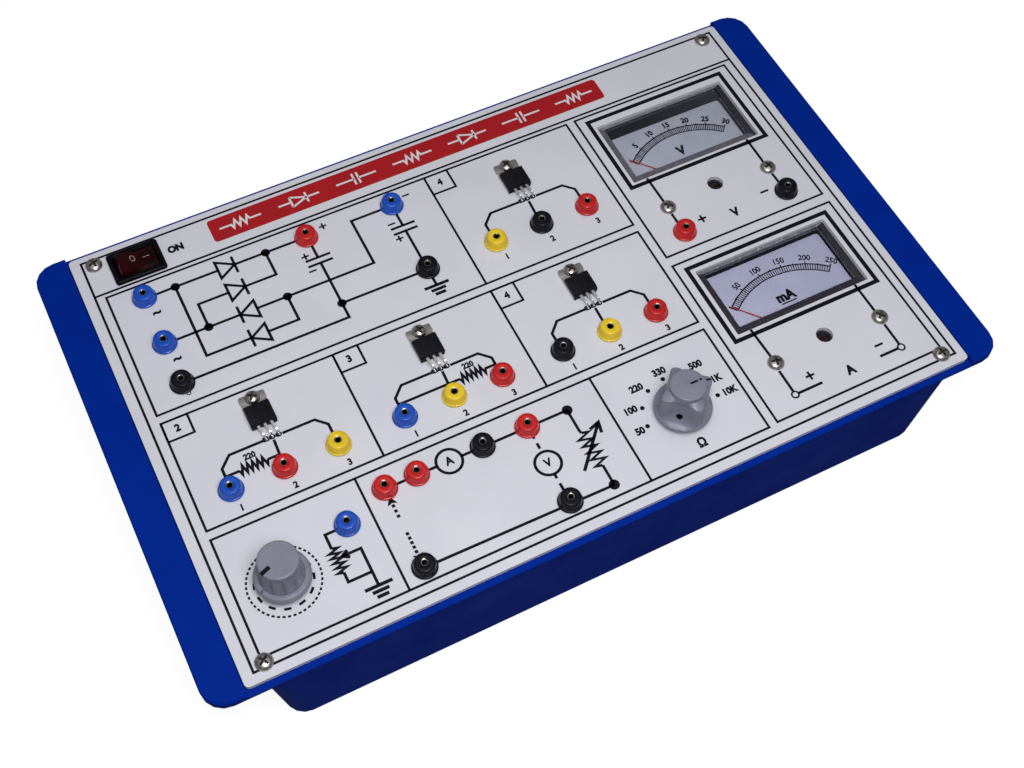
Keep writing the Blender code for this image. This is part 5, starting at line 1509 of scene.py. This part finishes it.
@dataclass
class FlutedKnob(Knob):
    """The variable resistor's knob: notched skirt, scooped grip and flat round top with its mark."""

    node: str = "resistance_knob"
    skirt: float = 10.3
    lift: float = 3.8
    height: float = 19.0
    turn: float = 200.0
    cut_finish: Finish = KNOB_GREY
    hollow: float = 6.4
    skirt_top: float = 6.8
    waist: float = 8.2
    top: float = 7.4
    flutes: int = 12
    per_flute: int = 14
    scoop: float = 0.95
    grip_rings: int = 12
    mark_start: float = 3.7
    mark_width: float = 1.6
    rim: tuple = ((0.0, 0.7), (0.08, 0.3), (0.35, 0.05), (0.7, 0.0))
    rim_drop: float = 1.3

    def grip_ring(self, radius: float, depth: float) -> list[Flat]:
        """Return one ring of the grip with broad scoops between narrow ridges.

        Args:
            radius: the ring's radius on its ridges.
            depth: how deep the scoops are.

        Returns:
            The ring.
        """
        count = self.flutes * self.per_flute
        points = []
        for k in range(count):
            across = 2.0 * ((k / self.per_flute) % 1.0) - 1.0
            points.append(polar(radius - depth * (1.0 - abs(across) ** 3.2), 360.0 * k / count))
        return points

    def body(self) -> Shape:
        """Loft the knob: hollow underside, rounded skirt, scooped grip and flat top with a dished middle.

        Returns:
            The body.
        """
        shape = Shape(f"{self.node}_dressed")
        count = self.flutes * self.per_flute
        base, rim = self.lift, self.skirt_top
        profile = [(self.spindle, self.spindle_floor), (self.spindle, base + 1.3), (self.hollow, base + 1.3),
                   (self.hollow, base)]
        profile += [(self.skirt - inset, z) for inset, z in (
            (0.2, base), (0.0, base + 0.2), (0.0, rim - 1.2), (0.15, rim - 0.6), (0.5, rim - 0.2), (1.0, rim),
            (1.7, rim - 0.1))]
        profile += [(self.waist + 0.05, rim - 0.05), (self.waist, rim + 0.3)]
        layers = [(circle(radius, count), z) for radius, z in profile]
        foot, head = rim + 0.5, self.height - self.rim_drop
        for k in range(self.grip_rings + 1):
            share = k / self.grip_rings
            swell = min(1.0, max(0.0, math.sin(math.pi * (0.04 + 0.92 * share))) ** 0.45)
            depth = self.scoop * swell if 0 < k < self.grip_rings else 0.0
            radius = self.waist + (self.top - self.waist) * share
            layers.append((self.grip_ring(radius, depth), foot + (head - foot) * share))
        layers += [(circle(self.top - inset, count), self.height - drop)
                   for inset, drop in (*self.rim, (1.4, 0.05))]
        shape.stack(layers, KNOB_GREY)
        return shape

    def cutter(self) -> Shape:
        """Return the V that is cut into the skirt.

        Returns:
            The cutter.
        """
        tool = Shape("notch")
        outline = [(self.waist + 0.1, 0.0), (self.skirt + 1.0, -1.6), (self.skirt + 1.0, 1.6)]
        tool.stack([(outline, self.lift - 0.3), (outline, self.skirt_top + 0.5)], KNOB_GREY)
        return tool

    def mark(self, ink: Drawing, place: Matrix) -> None:
        """Print the bar on the top, and carry it down over the rim.

        Args:
            ink: the drawing that it is added to.
            place: the knob's place and turn.
        """
        half = self.mark_width / 2.0
        ink.local = place @ Matrix.Translation((0.0, 0.0, self.height))
        ink.line([(self.mark_start, 0.0), (self.top - 0.7, 0.0)], self.mark_width, high=INK - 0.02)
        ink.local = place
        outer = [(self.top - inset + 0.02, self.height - drop + 0.02)
                 for inset, drop in (*reversed(self.rim), (0.0, self.rim_drop))]
        rows = [[(r, -half, z), (r, half, z), (r - 0.1, half, z - 0.05), (r - 0.1, -half, z - 0.05)]
                for r, z in outer]
        ink.loft(rows, INK_BLACK)


@dataclass
class LobedKnob(Knob):
    """The selector's knob: round skirt, four lobes with hollow flutes between, and a round crown."""

    node: str = "selector_knob"
    skirt: float = 11.2
    lift: float = 3.4
    height: float = 19.95
    turn: float = 0.0
    cut_finish: Finish = SWITCH_BLACK
    hollow: float = 7.5
    lobe: float = 10.6
    flute: float = 7.0
    crown: float = 6.9
    points: int = 96
    set_screw: float = 225.0
    set_screw_height: float = 8.0

    def lobe_ring(self, lobe: float, flute: float, z: float, slope: float, sharp: float) -> list[Triple]:
        """Return one ring of the lobes.

        Args:
            lobe: the radius at a lobe.
            flute: the radius in a flute.
            z: the ring's height at the flutes.
            slope: how far the ring drops at the lobes.
            sharp: how narrow the lobes are.

        Returns:
            The ring's points.
        """
        ring = []
        for k in range(self.points):
            angle = 360.0 * k / self.points
            swell = ((1.0 + math.cos(math.radians(4.0 * angle))) / 2.0) ** sharp
            x, y = polar(flute + (lobe - flute) * swell, angle)
            ring.append((x, y, z - slope * swell))
        return ring

    def round_rings(self, profile: Sequence[Flat]) -> list[list[Triple]]:
        """Return round rings at each radius and height of a profile."""
        return [[(x, y, z) for x, y in circle(radius, self.points)] for radius, z in profile]

    def body(self) -> Shape:
        """Loft the knob from its hollow underside to its crown.

        Returns:
            The body.
        """
        shape = Shape(f"{self.node}_dressed")
        base, top = self.lift, self.height
        lobe, flute, crown = self.lobe, self.flute, self.crown
        foot = [(self.spindle, self.spindle_floor), (self.spindle, base + 1.7), (self.hollow, base + 1.7),
                (self.hollow, base), (self.skirt - 0.15, base), (self.skirt, base + 0.15),
                (self.skirt, base + 0.9), (self.skirt - 0.2, base + 1.2)]
        rows = self.round_rings(foot)
        for ring in ((lobe, 9.4, base + 1.6, 0.0, 1.0), (lobe - 0.1, 8.2, base + 2.5, 0.0, 1.3),
                     (lobe, 7.3, base + 3.9, 0.0, 1.6), (lobe, flute - 0.2, 9.6, 0.0, 1.9),
                     (lobe + 0.1, flute - 0.35, 12.8, 0.0, 2.2), (lobe + 0.1, flute - 0.3, 16.4, 0.6, 2.4),
                     (lobe - 0.3, flute - 0.05, 17.2, 0.7, 2.4)):
            rows.append(self.lobe_ring(*ring))
        rows += self.round_rings([(crown + 0.05, 17.9), (crown, 18.3), (crown, top - 0.7),
                                  (crown - 0.1, top - 0.3), (crown - 0.35, top - 0.07), (crown - 0.7, top)])
        shape.loft(rows, KNOB_GREY)
        return shape

    def cutter(self) -> Shape:
        """Return the round hole of the set screw.

        Returns:
            The cutter.
        """
        tool = Shape("drill")
        turn = Matrix.Rotation(math.radians(self.set_screw), 4, "Z")
        rise = Matrix.Translation((0.0, 0.0, self.set_screw_height))
        tool.local = turn @ rise @ Matrix.Rotation(math.pi / 2.0, 4, "Y")
        tool.turned([(1.3, 4.6), (1.3, 9.6)], self.cut_finish, 20)
        return tool

    def mark(self, ink: Drawing, place: Matrix) -> None:
        """Print the bar and the dot on the crown, and the bar on one lobe.

        Args:
            ink: the drawing that it is added to.
            place: the knob's place and turn.
        """
        ink.local = place @ Matrix.Translation((0.0, 0.0, self.height))
        ink.line([(0.9, 0.0), (4.0, 0.0)], 0.85, high=INK - 0.02)
        ink.prism(circle(0.5, 20, (5.2, 0.0)), UNDER, INK - 0.02, INK_BLACK)
        ink.local = place
        rows = [[(r, -0.4, z), (r, 0.4, z), (r, 0.4, z - 0.3), (r, -0.4, z - 0.3)]
                for r, z in ((8.0, 17.46), (10.2, 16.64))]
        ink.loft(rows, INK_BLACK)


# Meters


@dataclass
class PanelMeter:
    """A moving-coil meter behind the panel: case, glazing, dial, pointer and the step round its window.

    Its outlines across the panel start at the middle of its window, and its heights at the panel's face.
    """

    name: str
    unit: str
    full: float
    numbered: float
    fine: int
    paper: Finish
    paper_top: float
    radius: float
    reach: float
    # strips: the finishes of the trim's bottom, right, top and left sides; the paler ones are painted sheen
    # and highlight
    strips: tuple
    band: float = 3.0
    underlined: bool = False
    bold: float = 0.075
    swing: float = 41.0
    dial: float = -6.0
    # sheet: the near-black backing round the paper, painted shade of the meter's hollow
    sheet: tuple = ((-29.7, -19.7), (29.7, 15.7))
    paper_left: float = -28.5
    paper_right: float = 28.1
    paper_bottom: float = -19.0
    pivot_drop: float = 29.0
    needle: Flat = (-5.32, -5.08)
    hub: Flat = (1.2, 2.1)
    opening: tuple = ((-27.3, -13.0), (27.9, 15.4))
    cutout: tuple = ((-30.6, -16.7), (30.6, 16.7))
    face: Flat = (-3.7, -2.3)
    print_height: float = INK * 0.6
    figure_level: float = -INK * 0.4

    def centred(self, shape: Shape) -> Shape:
        """Lay a shape out from the middle of the meter's window."""
        return shape.move_to(*spot(f"{self.name}_window"))

    def case(self) -> None:
        """Open the case's face to the window's real size."""
        tool = self.centred(Shape("opening"))
        tool.prism(rounded(*self.opening, radius=0.8), self.face[0] - 0.2, self.face[1] + 0.4, BEZEL_DARK)
        cutter = tool.mesh()
        cutter.transform(TO_METRES)
        mesh = carved(frame["nodes"][f"{self.name}_case"].data.copy(), cutter)
        place_piece(f"{self.name}_case_dressed", mesh, "base", [f"{self.name}_case"])

    def pane(self) -> None:
        """Glaze the opening."""
        shape = self.centred(Shape(f"{self.name}_pane"))
        (left, bottom), (right, top) = self.opening
        outline = rounded((left + CLEAR, bottom + CLEAR), (right - CLEAR, top - CLEAR), 0.6)
        shape.prism(outline, self.face[0] + 0.2, self.face[0] + 1.2, CLEAR_PANE)
        shape.build("base", "clear_acrylic", [f"{self.name}_window"])

    def scale(self, shape: Shape) -> None:
        """Print the dial's two arcs, its fine marks, its numbered marks and those halfway between.

        Args:
            shape: the dial, laid out from its printed face.
        """
        pivot = (0.0, -self.pivot_drop)
        left, right = 90.0 + self.swing, 90.0 - self.swing
        foot = self.radius - self.band
        for radius, width in ((self.radius, 0.6), (foot, 0.5)):
            shape.line(arc(radius, left, right, 60, pivot), width, high=self.print_height)
        count = round(self.full / self.numbered)
        for marks, first, share, rise, width in ((self.fine, 0, 0.0, 0.0, 0.38), (count, 0, 0.0, 1.2, 0.5),
                                                 (count, 1, 0.5, 0.6, 0.45)):
            for k in range(marks + 1 - first):
                angle = left - 2.0 * self.swing * (k + share) / marks
                mark = [polar(foot, angle, pivot), polar(self.radius + rise, angle, pivot)]
                shape.line(mark, width, high=self.print_height)
        for k in range(1, count + 1):
            angle = left - 2.0 * self.swing * k / count
            place = polar(self.radius + 3.0, angle, pivot)
            shape.words(f"{round(self.numbered * k)}", 2.7, place, angle - 90.0, self.bold, self.figure_level)

    def dial_plate(self) -> None:
        """Make the dial sheet and print its scale and its unit."""
        shape = self.centred(Shape(f"{self.name}_dial_dressed"))
        # Near-black backing sheet, bigger than the paper: painted shade in the meter's hollow round the dial
        shape.prism(rounded(*self.sheet, 0.4), self.dial - 0.9, self.dial - 0.25, DIAL_SHADE_SHEET)
        paper = rounded((self.paper_left, self.paper_bottom), (self.paper_right, self.paper_top), 1.5)
        shape.prism(paper, self.dial - 0.3, self.dial, self.paper, 0.1)
        shape.local = shape.local @ Matrix.Translation((0.0, 0.0, self.dial))
        self.scale(shape)
        shape.words(self.unit, 4.5, (-0.8, -6.2), weight=0.075, level=self.figure_level)
        if self.underlined:
            shape.line([(-4.2, -9.2), (2.8, -9.2)], 0.6, high=self.print_height)
        shape.build("base", "dial_grey", [f"{self.name}_dial_plate"])

    def pointer(self) -> None:
        """Make the needle and its hub about the pivot."""
        x, y = spot(f"{self.name}_window")
        shape = Shape(f"{self.name}_pointer_dressed").move_to(x, y - self.pivot_drop, turn=self.swing)
        right = [(0.30, -3.5), (0.30, 2.0), (0.24, 20.0), (0.15, self.reach)]
        shape.prism(right + [(-px, py) for px, py in reversed(right)], *self.needle, POINTER_RED)
        inner, outer = self.hub
        ring = [(inner, -5.5), (outer, -5.5), (outer, -4.9), (inner, -4.9)]
        shape.turned(ring, POINTER_RED, 24, loop=True)
        shape.build(f"{self.name}_pointer", "pointer_red", [f"{self.name}_pointer"])

    def trim(self) -> None:
        """Make the moulded step that frames the window inside the panel's cut-out."""
        shape = self.centred(Shape(f"{self.name}_window_frame"))
        outlines = []
        for ((left, bottom), (right, top)), gap in ((self.cutout, CLEAR), (self.opening, 0.0)):
            outlines.append([(left + gap, bottom + gap), (right - gap, bottom + gap), (right - gap, top - gap),
                             (left + gap, top - gap)])
        outer, inner = outlines
        low, high = self.face[1] + 0.02, self.face[1] + 0.7
        # Each side is a strip of its own finish; the paler finishes paint sheen and highlight on the dark
        # moulding
        for k, finish in enumerate(self.strips):
            after = (k + 1) % len(self.strips)
            shape.prism([outer[k], outer[after], inner[after], inner[k]], low, high, finish, 0.12)
        shape.build("base", "meter_black")

    def build(self) -> None:
        """Dress the whole meter."""
        for part in (self.case, self.pane, self.dial_plate, self.pointer, self.trim):
            part()


# Carried-over solids


@dataclass
class Housing:
    """The solids whose shape is kept from the frame, each with the finish of its slot."""

    adjuster: str = "zero_adjuster"

    def build(self) -> None:
        """Give every CAD node the material of its slot, and the zero adjusters a darker one."""
        for part in frame["record"]["subparts"]:
            name = part["node"]
            finish = ADJUSTER_BROWN if name.endswith(self.adjuster) else SLOT_FINISHES[part["material_slot"]]
            material = finish.material()
            for slot in frame["nodes"][name].material_slots:
                slot.material = material
            LOG.info("%s wears %s", name, material.name)


# Studio


@dataclass
class Lamp:
    """A soft area lamp that shines at the trainer."""

    name: str
    place: Triple
    size: float
    power: float
    colour: Triple = (1.0, 1.0, 1.0)
    target: Triple = (0.0, 0.0, 0.04)

    def build(self) -> None:
        """Hang the lamp."""
        light = bpy.data.lights.new(self.name, "AREA")
        light.shape = "DISK"
        light.size = self.size
        light.energy = self.power
        light.color = self.colour
        item = linked(self.name, light)
        item.location = self.place
        item.rotation_euler = (Vector(self.target) - Vector(self.place)).to_track_quat("-Z", "Y").to_euler()


@dataclass
class Studio:
    """Floor, lamps, world and the camera at the photograph's viewing angle."""

    camera_place: Triple = (-0.14595, -0.26995, 0.51427)
    camera_target: Triple = (-0.01548, -0.03030, 0.05000)
    camera_roll: float = 2.2235
    lens: float = 49.5
    sensor: float = 36.0
    floor_reach: float = 4.0
    world_strength: float = 0.12
    shine: float = 0.10
    lamps: tuple = (Lamp("ceiling_lamp", (-0.05, -0.04, 1.25), 1.4, 3.5, (0.97, 0.98, 1.0)),
                    Lamp("near_lamp", (-0.08, -0.26, 0.60), 0.30, 2.75))

    def floor(self) -> None:
        """Lay the floor."""
        reach = self.floor_reach
        mesh = bpy.data.meshes.new("floor")
        corners = [(-reach, -reach, 0.0), (reach, -reach, 0.0), (reach, reach, 0.0), (-reach, reach, 0.0)]
        mesh.from_pydata(corners, [], [(0, 1, 2, 3)])
        mesh.materials.append(STUDIO_WHITE.material())
        linked("floor", mesh)

    def world(self) -> None:
        """Make the world white for the camera and through the panes, and a soft grey light for the rest."""
        world = bpy.data.worlds.new("studio")
        board = NodeBoard(world, "Background")
        path, seen = board.seen_rays()
        rays = {0: path["Is Glossy Ray"], 1: self.shine, 2: seen}
        shine = board.add("ShaderNodeMath", rays, operation="MULTIPLY_ADD")
        board.feed("Color", (1.0, 1.0, 1.0, 1.0))
        board.feed("Strength", board.between(shine.outputs[0], FULL, (self.world_strength, 1.0)))
        bpy.context.scene.world = world

    def camera(self) -> None:
        """Set up the camera."""
        data = bpy.data.cameras.new("camera")
        data.sensor_width = self.sensor
        data.lens = self.lens
        data.clip_start = 0.01
        item = linked("camera", data)
        item.location = self.camera_place
        look = (Vector(self.camera_target) - Vector(self.camera_place)).to_track_quat("-Z", "Y")
        roll = Matrix.Rotation(math.radians(self.camera_roll), 3, "Z")
        item.rotation_euler = (look.to_matrix() @ roll).to_euler()
        bpy.context.scene.camera = item

    def build(self) -> None:
        """Set up the studio."""
        self.floor()
        self.world()
        for lamp in self.lamps:
            lamp.build()
        self.camera()
        bpy.context.scene.view_settings.view_transform = "Standard"


def main() -> None:
    """Dress the trainer and set up its studio."""
    logging.basicConfig(level=logging.INFO, format="%(message)s")
    Studio().build()
    Housing().build()
    PanelPrinting().build()
    for node, colour in socket_colours().items():
        Socket(node, colour).build()
    Screws().build()
    for k, turn in enumerate((25.0, 60.0, 10.0, 40.0), 1):
        Regulator(f"regulator_{k}", turn).build()
    RockerSwitch().build()
    FlutedKnob().build()
    LobedKnob().build()
    # Trim strips run bottom, right, top, left; their paler finishes are painted sheen and highlight
    PanelMeter("voltmeter", "V", full=30.0, numbered=5.0, fine=60, paper=DIAL_GREY, paper_top=11.9,
               radius=34.9, reach=36.6, strips=(BEZEL_PAINTED_SHEEN, BEZEL_DARK, BEZEL_PAINTED_HIGHLIGHT, BEZEL_PAINTED_SHEEN)).build()
    PanelMeter("ammeter", "mA", full=250.0, numbered=50.0, fine=50, paper=DIAL_LILAC, paper_top=14.9,
               radius=36.0, reach=37.2, strips=(BEZEL_DARK, BEZEL_DARK, BEZEL_PAINTED_HIGHLIGHT, BEZEL_DARK), band=2.8,
               underlined=True, bold=0.04).build()


if __name__ == "__main__":
    main()
